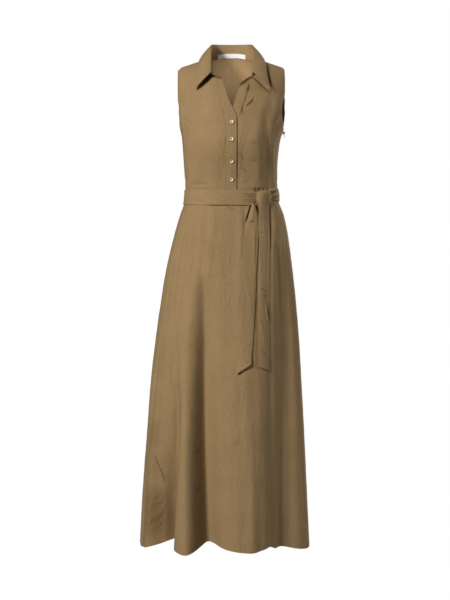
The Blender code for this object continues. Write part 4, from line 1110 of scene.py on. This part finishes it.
def collar_layer(seam, fold, outer_edge, wall):
    """Middle layer of the collar: straight up the stand, half a circle, and the bowed fall."""
    up = unit(fold - (seam + outer_edge) / 2)
    out = outer_edge - seam
    out = unit(out - up * np.sum(out * up, axis=-1, keepdims=True))
    centre = fold - up * COLLAR_FOLD_RADIUS
    stand_top = centre - out * COLLAR_FOLD_RADIUS
    fall_top = centre + out * COLLAR_FOLD_RADIUS
    foot = seam + unit(stand_top - seam) * (SEAM + wall / 2)
    rows = [foot + (stand_top - foot) * row / COLLAR_STAND_ROWS for row in range(COLLAR_STAND_ROWS)]
    rows += [centre + COLLAR_FOLD_RADIUS * (up * math.sin(turn) - out * math.cos(turn))
             for turn in np.linspace(0, math.pi, 11)]
    near_front = smooth_step(np.abs(np.linspace(-1, 1, len(seam))), COLLAR_STAND_FROM, 1.0)
    stand = COLLAR_FRONT_STAND * np.where(seam[:, 0] < 0, 1.0, COLLAR_LEFT_STAND)
    for share in eased(26, 0.6)[1:]:
        bulge = COLLAR_FALL_BULGE * 4 * share * (1 - share)
        forward = stand * near_front * np.sin(np.pi * share ** 0.8) ** 0.8
        rows.append(fall_top + (outer_edge - fall_top) * share + out * bulge
                    - np.outer(forward, (0, 1, 0)))
    return np.stack(rows)


def build_collar():
    """The folded collar as one shell."""
    wall = bpy.context.scene.dress_cloth.collar_thickness
    middle = collar_layer(*collar_guides(), wall)
    normal = grid_normals(middle)
    outer = middle + normal * wall / 2
    GRIDS["collar"] = (outer, normal)
    return shell("collar_folded", outer, middle - normal * wall / 2)


def build_label():
    """A blank satin label on the inside of the collar's stand, its ends stitched down."""
    wall = bpy.context.scene.dress_cloth.collar_thickness
    guides = collar_guides()
    middle = collar_layer(*guides, wall)
    seam = guides[0]
    columns, rows = GRID_SIZES["label"]
    keep = (np.abs(seam[:, 0]) < LABEL_SIZE[0]) & (seam[:, 1] > 0)
    low, high = middle[0][keep], middle[COLLAR_STAND_ROWS - 1][keep]
    across = np.linspace(-LABEL_SIZE[0] / 2, LABEL_SIZE[0] / 2, columns)
    order = np.argsort(low[:, 0])
    foot, top = (at_places(across, line[order][:, 0], line[order]) for line in (low, high))
    rise = unit(top - foot)
    inward = unit(np.cross(np.gradient(foot, axis=0), rise))
    inward = np.where(inward[:, 1:2] > 0, -inward, inward)
    share, up = np.meshgrid(np.linspace(-1, 1, columns), np.linspace(0, 1, rows))
    puff = LABEL_PUFF * (1 - share ** 8) * (0.6 + 0.4 * np.sin(up * np.pi))
    inner = (foot + rise * (up[..., None] * LABEL_SIZE[1])
             + inward * (wall / 2 + LABEL_STAND_OFF + puff[..., None]))
    return shell("label_blank", inner + inward * LABEL_WALL, inner, "label")


# ---------------------------------------------------------------- skirt

def hem_level(angle):
    """The hem hangs lower where a fold stands out, and at the sides and the back."""
    around = (angle + 180) % 360 - 180
    at_side = (smooth_step(-around, -HEM_SIDES[1], -HEM_SIDES[0])
               + smooth_step(around, HEM_SIDES[2], HEM_SIDES[3]))
    dip = HEM_DIP * fold_height(angle, np.full_like(angle, HEM_Z))
    return HEM_Z - HEM_SIDE_DROP * at_side - dip


def centre_front(level):
    """Ring angle of the skirt's front seam, which hangs straight down from the lapped front."""
    return angle_at(np.full_like(level, UPPER_STITCHED_EDGE[-1, 1]), level)


def at_angle(degrees):
    """A seam that keeps to one angle of the rings."""
    return lambda level: np.full_like(level, degrees)


def skirt_panel(name, start, end, size):
    """A quarter of the skirt between two seams, from the waist seam to the hem."""
    gap = math.degrees(SEAM / 2 / float(ring_value("left", WAIST_Z)))
    sizes = bpy.context.scene.dress_cloth
    columns, rows = GRID_SIZES[size]
    share, down = np.meshgrid(eased(columns), np.linspace(0, 1, rows) ** 1.1)
    top = WAIST_Z - SEAM / 2
    level = top + (HEM_Z - top) * down
    first = start(level) + gap
    angle = first + (end(level) - gap - first) * share
    level = top + (hem_level(angle) - top) * down
    doubled = smooth_step(down, *HEM_DOUBLED)
    thickness = sizes.cloth_thickness + (sizes.doubled_thickness - sizes.cloth_thickness) * doubled
    return cloth_on_form(name, angle, level, ("start", "end"), thickness=thickness,
                         own_creases=creases_of(UNDER_END_CREASES))


# ---------------------------------------------------------------- belt

def belt_room(angle, level):
    """Room under the belt, which rises over the lapped fronts."""
    across = body_point(angle, level)[..., 0]
    in_front = np.cos(np.radians(angle)) > 0
    return BELT_STAND_OFF + BELT_RISE * plateau(across, *OVER_LAP) * in_front


def build_band():
    """The belt round the waist: a closed ring whose edges draw up beyond the knot and dip at it."""
    thickness = bpy.context.scene.dress_cloth.doubled_thickness
    columns, rows = GRID_SIZES["belt"]
    angle, share = np.meshgrid(np.linspace(0, 360, columns + 1)[:-1], eased(rows, 0.6))
    parts = (BEYOND_KNOT, BEFORE_KNOT, AT_KNOT)
    beyond, before, at_knot = (plateau(angle, *part) for part in parts)
    top = BELT_TOP + BELT_TOP_DRAWN[0] * beyond + BELT_TOP_DRAWN[1] * at_knot
    up, farther, down = BELT_BOTTOM_DRAWN
    bottom = (BELT_BOTTOM + (up + farther * smooth_step(angle, *FARTHER_ON)) * beyond
              + down * before)
    level = top + (bottom - top) * share
    plain = body_point(angle, level)
    side = 2 * share - 1
    creases = creases_of(BELT_CREASES)
    out = (belt_room(angle, level) + thickness + BELT_BOW * (1 - side ** 2)
           - BELT_EDGE_SINK * side ** EDGE_ROUNDING + crease_height(plain, creases)
           + waves(angle, level, BELT_WAVES))
    outer = body_point(angle, level, out)
    return cloth_shell("belt_round_waist", plain, outer, thickness, creases, closed=True)


def build_lump():
    """The knot's core under the wrap: a low dome, pleated where the belt runs in and out of it."""
    x, z, half_width, half_height, height = KNOT_LUMP
    columns, rows = GRID_SIZES["knot"]
    side, rise = np.meshgrid(np.linspace(-1, 1, columns), np.linspace(1, -1, rows))
    level = z + rise * half_height * (1 - 0.22 * side ** 2)
    angle = angle_at(x + side * half_width * np.sqrt(1 - 0.12 * rise ** 2), level)
    dome = ((1 - side ** 4) * (1 - rise ** 6)) ** 0.6
    at_left = 1 - smooth_step(side, -0.75, -0.35)
    at_right = smooth_step(side, 0.45, 0.8)
    left, left_up, left_across = KNOT_LEFT_PLEATS
    right, right_up, right_across = KNOT_RIGHT_PLEATS
    pleats = (left * at_left * np.cos(rise * left_up + side * left_across)
              + right * at_right * np.sin(rise * right_up + side * right_across))
    face, stand_off, inside = KNOT_WALL
    base = belt_room(angle, level) + stand_off
    out = base + face + height * dome + pleats * np.minimum(dome * 2, 1)
    outer, inner = (body_point(angle, level, lift) for lift in (out, base - inside))
    return shell("belt_knot_core", outer, inner)


def hanging_end(name, end, drop, low_side, size, own_creases):
    """A hanging end of the belt: widths and stand-offs carried down it, its tip slanting."""
    length = run_of(np.stack((end["height"], end["stand_off"]), axis=-1))
    columns, rows = GRID_SIZES[size]
    share, run = np.meshgrid(eased(columns, 0.6), np.linspace(0, length[-1], rows))
    height, across, width, stand_off, curl, lean = (
        curve_through(length, values, run) for values in end.values())
    slant = share if low_side > 0 else 1 - share
    level = height - drop * slant * smooth_step(run, length[-1] - END_SLANT_LENGTH, length[-1])
    side = np.abs(2 * share - 1)
    angle = angle_at(across + width * (share - 0.5), level)
    plain = body_point(angle, level)
    creases = creases_of(own_creases)
    out = (stand_off + lean * (0.6 - share) - curl * side ** 2.5
           - END_EDGE_SINK * side ** EDGE_ROUNDING
           + hang(angle, level) + crease_height(plain, creases))
    return cloth_shell(name, plain, body_point(angle, level, out),
                       bpy.context.scene.dress_cloth.doubled_thickness, creases)


# ---------------------------------------------------------------- buttons and stitches

BUTTON_RADIUS = 0.0066
BUTTON_THICKNESS = 0.0026
BUTTON_RINGS = (             # radius and height of the profile, as shares, from below
    (0, 0.02), (0.78, 0), (0.93, 0.12), (1, 0.38), (0.99, 0.68), (0.94, 0.9), (0.86, 1),
    (0.77, 0.97), (0.66, 0.74), (0.52, 0.56), (0, 0.5),
)
BUTTON_ROWS = 64
BUTTON_SEGMENTS = 72
HOLE_PLACE = 0.0014
HOLE_RADIUS = 0.00072
HOLE_DEPTH = 0.0011
SEAT_STEPS = ((0.05, 0), (-0.05, 0), (0, 0.0002), (0, -0.0002))   # places that give its directions
BUTTONHOLE_LENGTH = 0.0155
BUTTONHOLE_STEP = 0.00055
BUTTONHOLE_SIDE = 0.0008
BUTTONHOLE_STITCH = (0.00138, 0.001, 0.00024)   # a stitch's length, gap and radius
BUTTON_STITCH = (2 * HOLE_PLACE * 0.98, 0.001, 0.00032)
STITCH_SHARES = (0.0, 0.12, 0.5, 0.88, 1.0)     # places along a stitch, in its length,
STITCH_HEIGHTS = (-0.5, 0.2, 0.55, 0.2, -0.5)   # its height there,
STITCH_SIZES = (0.35, 0.9, 1.0, 0.9, 0.35)      # and its thickness, in the thread's


def seat_of(across, level, lift):
    """A place on the upper band: its point and the directions across, up and out."""
    across, level = np.array(across), np.array(level)
    angle = angle_at(across, level)
    height = lift + float(hang(angle, level))
    near = [body_point(angle + turn, level + rise, height) for turn, rise in SEAT_STEPS]
    sideways = unit(near[0] - near[1])
    upward = unit(near[2] - near[3])
    return body_point(angle, level, height), sideways, upward, unit(np.cross(sideways, upward))


def button_seat(level):
    """The place of a button, half way up its seat."""
    return seat_of(BUTTON_ACROSS, level, UPPER_LIFT + BUTTON_SEAT / 2)


def build_button(number, level):
    """A turned button: a profile carried round, with four round holes sunk in its dish."""
    seat, sideways, upward, outward = button_seat(level)
    shares, heights = np.array(BUTTON_RINGS).T
    knots = np.linspace(0, 1, len(BUTTON_RINGS))
    share = np.linspace(0, 1, BUTTON_ROWS)[1:-1]
    radius = np.interp(share, knots, shares)
    height = curve_through(knots, heights, share) * BUTTON_THICKNESS
    turn = np.linspace(0, 2 * np.pi, BUTTON_SEGMENTS, endpoint=False)
    flat_x = BUTTON_RADIUS * radius[:, None] * np.cos(turn)
    flat_y = BUTTON_RADIUS * radius[:, None] * np.sin(turn)
    hole = np.max([smooth_step(-np.hypot(flat_x - x * HOLE_PLACE, flat_y - y * HOLE_PLACE),
                               -HOLE_RADIUS * 1.25, -HOLE_RADIUS * 0.85)
                   for x in (-1, 1) for y in (-1, 1)], axis=0)
    lifted = height[:, None] - HOLE_DEPTH * hole * (share > 0.5)[:, None]
    points = (seat + flat_x[..., None] * sideways + flat_y[..., None] * upward
              + lifted[..., None] * outward).reshape(-1, 3)
    index, quads = grid_faces(len(share), BUTTON_SEGMENTS, closed=True)
    caps = [index[0, -2::-1], index[-1, :-1]]
    if signed_volume(points - seat, quads) < 0:
        quads = quads[:, ::-1]
        caps = [face[::-1] for face in caps]
    grain = np.stack((np.repeat(radius, BUTTON_SEGMENTS), np.tile(turn, len(share))), axis=-1)
    made = new_object(f"horn_button_{number}", points, quads, "button", grain, caps)
    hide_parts(f"button_{number}")


def stitches(points, normals, length, gap, radius):
    """Stitches along a line: five-sided capsules whose ends dip into the cloth."""
    along = run_of(points)
    count = int((along[-1] - length) // (length + gap)) + 1
    starts = (along[-1] - count * (length + gap) + gap) / 2 + np.arange(count) * (length + gap)
    at = starts[:, None] + np.array(STITCH_SHARES) * length
    middle = at_places(at, along, points)
    normal = unit(at_places(at, along, normals))
    sideways = unit(np.cross(unit(np.gradient(middle, axis=1)), normal))
    turn = np.linspace(0, 2 * np.pi, 5, endpoint=False)
    ring = (np.cos(turn)[:, None] * sideways[:, :, None, :]
            + np.sin(turn)[:, None] * normal[:, :, None, :])
    centre = middle + normal * (np.array(STITCH_HEIGHTS) * radius)[:, None]
    return centre[:, :, None, :] + ring * (np.array(STITCH_SIZES) * radius)[:, None, None]


def sew(name, lines):
    """One object of all the stitches on some lines, each given as points, normals and sizes."""
    points = np.concatenate([stitches(*line) for line in lines]).reshape(-1, 3)
    one = grid_faces(5, 5, closed=True)[1][:, [0, 3, 2, 1]]
    ends = np.array(((0, 1, 2, 3, 4), (24, 23, 22, 21, 20)))
    offset = np.arange(0, len(points), 25)[:, None, None]
    quads = (one[None] + offset).reshape(-1, 4)
    caps = (ends[None] + offset).reshape(-1, 5)
    if signed_volume(points[:25] - points[:25].mean(axis=0), one) < 0:
        quads, caps = quads[:, ::-1], caps[:, ::-1]
    return new_object(name, points, quads, "thread", caps=caps.tolist())


def beside_edge(name, side, distance, first=0.0, last=1.0):
    """Points and normals of a line on a piece, a fixed distance from one of its edges."""
    turned = {"start": lambda a: a, "end": lambda a: a[:, ::-1],
              "bottom": lambda a: a[::-1].transpose(1, 0, 2)}[side]
    grid, normal = map(turned, GRIDS[name])
    length = lengths_along(grid, 1)
    after = np.clip(np.sum(length < distance, axis=1), 1, grid.shape[1] - 1)
    row = np.arange(len(grid))
    share = (distance - length[row, after - 1]) / (length[row, after] - length[row, after - 1])
    share = np.clip(share, 0, 1)[:, None]
    points = grid[row, after - 1] * (1 - share) + grid[row, after] * share
    part = slice(int(first * (len(grid) - 1)), int(last * (len(grid) - 1)) + 1)
    return points[part], normal[row, after][part]


def button_thread(level):
    """Two bars of thread through the holes of a button, as lines for sew()."""
    seat, sideways, upward, outward = button_seat(level)
    ends = np.linspace(-1, 1, 5)[:, None] * HOLE_PLACE * upward
    lifted = seat + ends + outward * (0.50 * BUTTON_THICKNESS + 0.0001)
    return [(lifted + side * HOLE_PLACE * sideways, np.tile(outward, (5, 1)), *BUTTON_STITCH)
            for side in (-1, 1)]


def buttonhole(level):
    """Close stitches on both sides of an upright slit, as lines for sew()."""
    lines = []
    for place in np.arange(-BUTTONHOLE_LENGTH / 2, BUTTONHOLE_LENGTH / 2, BUTTONHOLE_STEP):
        for side in (-1, 1):
            across = BUTTON_ACROSS + side * BUTTONHOLE_SIDE
            seat, sideways, _, outward = seat_of(across, level + place, UPPER_LIFT)
            points = seat + np.linspace(-0.5, 0.5, 3)[:, None] * 0.0014 * sideways
            lines.append((points, np.tile(outward, (3, 1)), *BUTTONHOLE_STITCH))
    return lines


# ---------------------------------------------------------------- stage

FLOOR_HALF = 20.0
FLOOR_COLOUR = (0.36, 0.36, 0.36, 1)
WHITE = (1, 1, 1, 1)
MIDDLE = (0, 0, -0.65)       # the soft lights are turned to this point of the dress
SOFT_LIGHTS = (              # place, size, share of the key power, and colour
    ("key", (-1.95, -2.65, 0.90), 0.8, 1.0, (1.0, 0.985, 0.96)),
    ("side", (3.4, 0.2, 0.8), 1.2, 0.35, (1.0, 1.0, 1.0)),
    ("back", (2.4, 3.4, 1.2), 2.6, 0.8, (1.0, 1.0, 1.0)))
NECK_LIGHT_PLACE = (-0.05, -4.6, -0.15)
INSIDE_NECK = (0.0, 0.05, -0.035)
NECK_LIGHTS = (              # share of the neck power, and the pieces that each one lights
    ("inside_spot", 1.0, ("back_right", "back_left")),
    ("collar_spot", 0.2, ("collar_folded", "label_blank")))
NECK_LIGHT_ANGLE = math.radians(3.0)
LENS = 90.21
CAMERA_PLACE = (-0.019, -4.2, -0.39)
CAMERA_TILT = math.radians(86.083)


def link(made):
    """Puts an object into the scene."""
    bpy.context.scene.collection.objects.link(made)
    return made


def white_to_camera(tree, kind, lit, out):
    """A surface that the camera sees plain white, and that all other light meets as it is."""
    white = add_node(tree, kind, {"Color": WHITE, "Strength": 1.0})
    path = tree.nodes.new("ShaderNodeLightPath")
    mix = add_node(tree, "ShaderNodeMixShader", {
        0: path.outputs["Is Camera Ray"], 1: lit.outputs[0], 2: white.outputs[0]})
    tree.links.new(mix.outputs[0], out.inputs["Surface"])


def place_light(name, kind, power, place, target, **settings):
    """A light at a place, turned to shine at a target."""
    lamp = bpy.data.lights.new(name, kind)
    for key, value in {"energy": power, **settings}.items():
        setattr(lamp, key, value)
    holder = link(bpy.data.objects.new(name, lamp))
    holder.location = place
    x, y, z = np.subtract(target, place).tolist()
    tilted = math.acos(-z / math.hypot(x, y, z))
    holder.rotation_euler = Euler((tilted, 0, math.atan2(y, x) - math.pi / 2), "XYZ")
    return holder


def build_floor(height):
    """A level square, far wider than the view."""
    mesh = bpy.data.meshes.new("floor")
    corners = np.array(((-1, -1), (1, -1), (1, 1), (-1, 1))) * FLOOR_HALF
    mesh.from_pydata([(x, y, height) for x, y in corners.tolist()], [], [(0, 1, 2, 3)])
    finish, tree, shader, _ = start_material("pale_floor")
    set_inputs(tree, shader, {"Base Color": FLOOR_COLOUR, "Roughness": 0.9})
    white_to_camera(tree, "ShaderNodeEmission", shader, tree.nodes["Material Output"])
    mesh.materials.append(finish)
    link(bpy.data.objects.new("floor", mesh))


def build_surround(strength):
    """Even light from all round."""
    scene = bpy.context.scene
    scene.world = scene.world or bpy.data.worlds.new("studio")
    scene.world.use_nodes = True
    tree = scene.world.node_tree
    tree.nodes.clear()
    around = add_node(tree, "ShaderNodeBackground", {"Color": WHITE, "Strength": strength})
    white_to_camera(tree, "ShaderNodeBackground", around, tree.nodes.new("ShaderNodeOutputWorld"))


def build_camera():
    """The camera, level with the waist and a long way off."""
    lens = bpy.data.cameras.new("camera")
    lens.lens = LENS
    lens.sensor_width = 36.0
    camera = link(bpy.data.objects.new("camera", lens))
    camera.location = CAMERA_PLACE
    camera.rotation_euler = Euler((CAMERA_TILT, 0, 0), "XYZ")
    bpy.context.scene.camera = camera


# ---------------------------------------------------------------- the operators

def declare(piece, node, width, length, area, held="hung", rests_on=()):
    """The piece stands for its CAD node, which is hidden."""
    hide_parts(node)


def size_of(name, description, default, unit="LENGTH"):
    """A length in metres, or a light's power in watts, that a user may change."""
    return bpy.props.FloatProperty(name=name, description=description, default=default, unit=unit)


def colour_of(name, description, default):
    """A colour that a user may change."""
    return bpy.props.FloatVectorProperty(
        name=name, description=description, default=default, subtype="COLOR", size=3)


class DressCloth(bpy.types.PropertyGroup):
    """Sizes of the cloth and its sewing."""

    cloth_thickness: size_of("Cloth thickness", "One layer of cloth with its facing", 0.0009)
    doubled_thickness: size_of("Doubled thickness", "Front bands, hem and belt", 0.0014)
    collar_thickness: size_of("Collar thickness", "Both layers of the collar", 0.0015)
    crease_strength: bpy.props.FloatProperty(
        name="Crease strength", description="Scales every crease", default=1.0, min=0.0, max=2.0)
    seam_depth: size_of("Seam depth", "How far a panel sinks at a seam", 0.0007)
    seam_width: size_of("Seam width", "How far from the seam it sinks", 0.0012)
    stitch_length: size_of("Stitch length", "One stitch that shows", 0.0024)
    stitch_gap: size_of("Stitch gap", "Cloth between two stitches", 0.0008)
    stitch_radius: size_of("Stitch radius", "Half the thickness of the thread", 0.00024)


class DressColours(bpy.types.PropertyGroup):
    """Colours of the finishes."""

    light_thread: colour_of("Light thread", "Lighter thread of the cloth", (0.345, 0.232, 0.116))
    dark_thread: colour_of("Dark thread", "Darker thread of the cloth", (0.235, 0.153, 0.071))
    label: colour_of("Label", "Blank satin label", (0.84, 0.82, 0.83))
    button: colour_of("Button", "Pale horn", (0.98, 0.88, 0.66))
    # the colour that painted shade takes the cloth to, in narrow troughs and crumpled places
    painted_shade: colour_of("Hollows", "Cloth in its narrow hollows", (0.088, 0.044, 0.012))
    # the buttons' darker rim with painted shadow round it, and painted shade at their centres
    button_rim_and_shade: colour_of("Button rim", "Dark rim and centre of the buttons", (0.120, 0.075, 0.036))


class DressStage(bpy.types.PropertyGroup):
    """Floor and light."""

    floor_height: size_of("Floor height", "Height of the floor", -1.80)
    key_power: size_of("Key power", "Power of the large soft light", 135.0, "POWER")
    neck_power: size_of("Neck power", "Power of the light into the neck", 1150.0, "POWER")
    surround: bpy.props.FloatProperty(
        name="Surround", description="Strength of the light from all round", default=0.055)


class DRESS_OT_bodice(bpy.types.Operator):
    """Fronts, backs and front bands of the bodice"""

    bl_idname = "dress.bodice"
    bl_label = "Bodice"

    def execute(self, context):
        right = front_panel("front_right", UPPER_STITCHED_EDGE, NECK_EDGE_RIGHT, -1, upper_lift)
        left = front_panel("front_left", UNDER_STITCHED_EDGE, NECK_EDGE_LEFT, 1, no_lift)
        declare(right, "bodice_front_right", 0.21, 0.45, 0.063)
        declare(left, "bodice_front_left", 0.21, 0.45, 0.061)
        for side, word in ((-1, "right"), (1, "left")):
            declare(back_panel(f"back_{word}", side), f"bodice_back_{word}", 0.20, 0.50, 0.071)
        upper = front_band("band_upper", UPPER_FREE_EDGE, UPPER_STITCHED_EDGE, -1, upper_lift)
        under = front_band("band_under", UNDER_FREE_EDGE, UNDER_STITCHED_EDGE, 1, no_lift)
        declare(upper, "placket_upper", 0.030, 0.36, 0.0098)
        declare(under, "placket_under", 0.036, 0.35, 0.0097)
        return {"FINISHED"}


class DRESS_OT_collar(bpy.types.Operator):
    """Folded collar and blank label"""

    bl_idname = "dress.collar"
    bl_label = "Collar and label"

    def execute(self, context):
        declare(build_collar(), "collar", 0.10, 0.51, 0.0356, "folded")
        declare(build_label(), "neck_label", 0.0130, 0.079, None, "laid")
        return {"FINISHED"}


class DRESS_OT_skirt(bpy.types.Operator):
    """Four panels of the skirt"""

    bl_idname = "dress.skirt"
    bl_label = "Skirt"

    def execute(self, context):
        right, left, back, full = (at_angle(degrees) for degrees in (-90, 90, 180, 270))
        for side, part, start, end, cut in (
                ("right", "front", right, centre_front, (0.51, 0.99, 0.313)),
                ("left", "front", centre_front, left, (0.37, 0.98, 0.284)),
                ("left", "back", left, back, (0.41, 0.99, 0.300)),
                ("right", "back", back, full, (0.43, 0.99, 0.318))):
            panel = skirt_panel(f"skirt_{side}_{part}", start, end, f"skirt_{part}")
            declare(panel, f"skirt_{part}_{side}", *cut)
        return {"FINISHED"}


class DRESS_OT_belt(bpy.types.Operator):
    """Belt, knot and hanging ends"""

    bl_idname = "dress.belt"
    bl_label = "Belt"

    def execute(self, context):
        declare(build_band(), "belt_band", 0.041, 0.76, 0.0305)
        declare(build_lump(), "belt_knot", 0.050, 0.043, 0.00213, "folded")
        lower = hanging_end("belt_lower_end", LOWER_END, 0.026, -1, "lower_end", LOWER_END_CREASES)
        upper = hanging_end("belt_upper_end", UPPER_END, 0.016, 1, "upper_end", UPPER_END_CREASES)
        declare(lower, "belt_tail_under", 0.041, 0.44, 0.0178, rests_on=["skirt_left_front"])
        declare(upper, "belt_tail_over", 0.041, 0.50, 0.0195, rests_on=["skirt_left_front"])
        return {"FINISHED"}


class DRESS_OT_fastenings(bpy.types.Operator):
    """Buttons, their thread, the buttonholes and the zip's finish"""

    bl_idname = "dress.fastenings"
    bl_label = "Buttons and zip"

    def execute(self, context):
        for number, level in enumerate(BUTTON_LEVELS, start=1):
            build_button(number, level)
        sew("button_thread", sum(map(button_thread, BUTTON_LEVELS), []))
        sew("buttonhole_thread", sum(map(buttonhole, BUTTON_LEVELS), []))
        for node in ("zip_slider", "zip_tab"):
            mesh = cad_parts[node].data
            mesh.materials.clear()
            mesh.materials.append(finish_of("metal"))
        return {"FINISHED"}


class DRESS_OT_stitching(bpy.types.Operator):
    """Rows of stitches on the bands, collar, armholes, seams and hem"""

    bl_idname = "dress.stitching"
    bl_label = "Stitching"

    def execute(self, context):
        sewing = context.scene.dress_cloth
        size = (sewing.stitch_length, sewing.stitch_gap, sewing.stitch_radius)
        near = 0.0016
        rows = {
            "stitches_bands": (
                ("band_upper", "start", near, 0, 0.985), ("band_upper", "end", near, 0, 0.985),
                ("band_under", "start", near), ("band_under", "end", near, 0, 0.985),
                ("front_left", "start", near, 0.24, 0.985)),
            "stitches_collar": (
                ("collar", "bottom", 0.0045, 0.03, 0.97), ("collar", "start", 0.0045, 0.48, 0.93),
                ("collar", "end", 0.0045, 0.48, 0.93)),
            "stitches_armholes": [
                (panel, "end", 0.0060, 0.02, 0.56)
                for panel in ("front_right", "front_left", "back_right", "back_left")],
            "stitches_hem": [
                (f"skirt_{quarter}", "bottom", 0.022)
                for quarter in ("right_front", "left_front", "right_back", "left_back")],
            "stitches_front_seam": [
                ("skirt_left_front", "start", away, 0, 0.42) for away in (near, 0.0105)]}
        for name, lines in rows.items():
            sew(name, [(*beside_edge(*line), *size) for line in lines])
        return {"FINISHED"}


class DRESS_OT_stage(bpy.types.Operator):
    """Floor, lights, surround and camera"""

    bl_idname = "dress.stage"
    bl_label = "Stage"

    def execute(self, context):
        stage = context.scene.dress_stage
        context.scene.view_settings.view_transform = "Standard"
        build_floor(stage.floor_height)
        build_surround(stage.surround)
        for name, place, size, share, colour in SOFT_LIGHTS:
            power = share * stage.key_power
            place_light(name, "AREA", power, place, MIDDLE, size=size, color=colour)
        for name, share, lit in NECK_LIGHTS:
            light = place_light(
                name, "SPOT", share * stage.neck_power, NECK_LIGHT_PLACE, INSIDE_NECK,
                spot_size=NECK_LIGHT_ANGLE, spot_blend=1.0, shadow_soft_size=0.10)
            receivers = bpy.data.collections.new(f"lit_by_{name}")
            for piece in lit:
                receivers.objects.link(bpy.data.objects[piece])
            light.light_linking.receiver_collection = receivers
        build_camera()
        return {"FINISHED"}


class DRESS_PT_panel(bpy.types.Panel):
    """The dress's pieces in the sidebar"""

    bl_idname = "DRESS_PT_panel"
    bl_label = "Shirt dress"
    bl_space_type = "VIEW_3D"
    bl_region_type = "UI"
    bl_category = "Dress"

    def draw(self, context):
        for group in ("dress_cloth", "dress_colours", "dress_stage"):
            values = getattr(context.scene, group)
            for key in values.__annotations__:
                self.layout.prop(values, key)
        for operator in OPERATORS:
            self.layout.operator(operator.bl_idname)


GROUPS = (("dress_cloth", DressCloth), ("dress_colours", DressColours), ("dress_stage", DressStage))
OPERATORS = (DRESS_OT_bodice, DRESS_OT_collar, DRESS_OT_skirt, DRESS_OT_belt, DRESS_OT_fastenings,
             DRESS_OT_stitching, DRESS_OT_stage)


def register():
    """Adds the properties, the operators and the panel."""
    for name, group in GROUPS:
        bpy.utils.register_class(group)
        setattr(bpy.types.Scene, name, bpy.props.PointerProperty(type=group))
    for kind in OPERATORS + (DRESS_PT_panel,):
        bpy.utils.register_class(kind)


def unregister():
    """Takes them away again."""
    for kind in (DRESS_PT_panel,) + OPERATORS[::-1]:
        bpy.utils.unregister_class(kind)
    for name, group in GROUPS[::-1]:
        delattr(bpy.types.Scene, name)
        bpy.utils.unregister_class(group)


def main():
    """Builds every piece in order."""
    register()
    for operator in OPERATORS:
        area, name = operator.bl_idname.split(".")
        getattr(getattr(bpy.ops, area), name)()


if __name__ == "__main__":
    main()
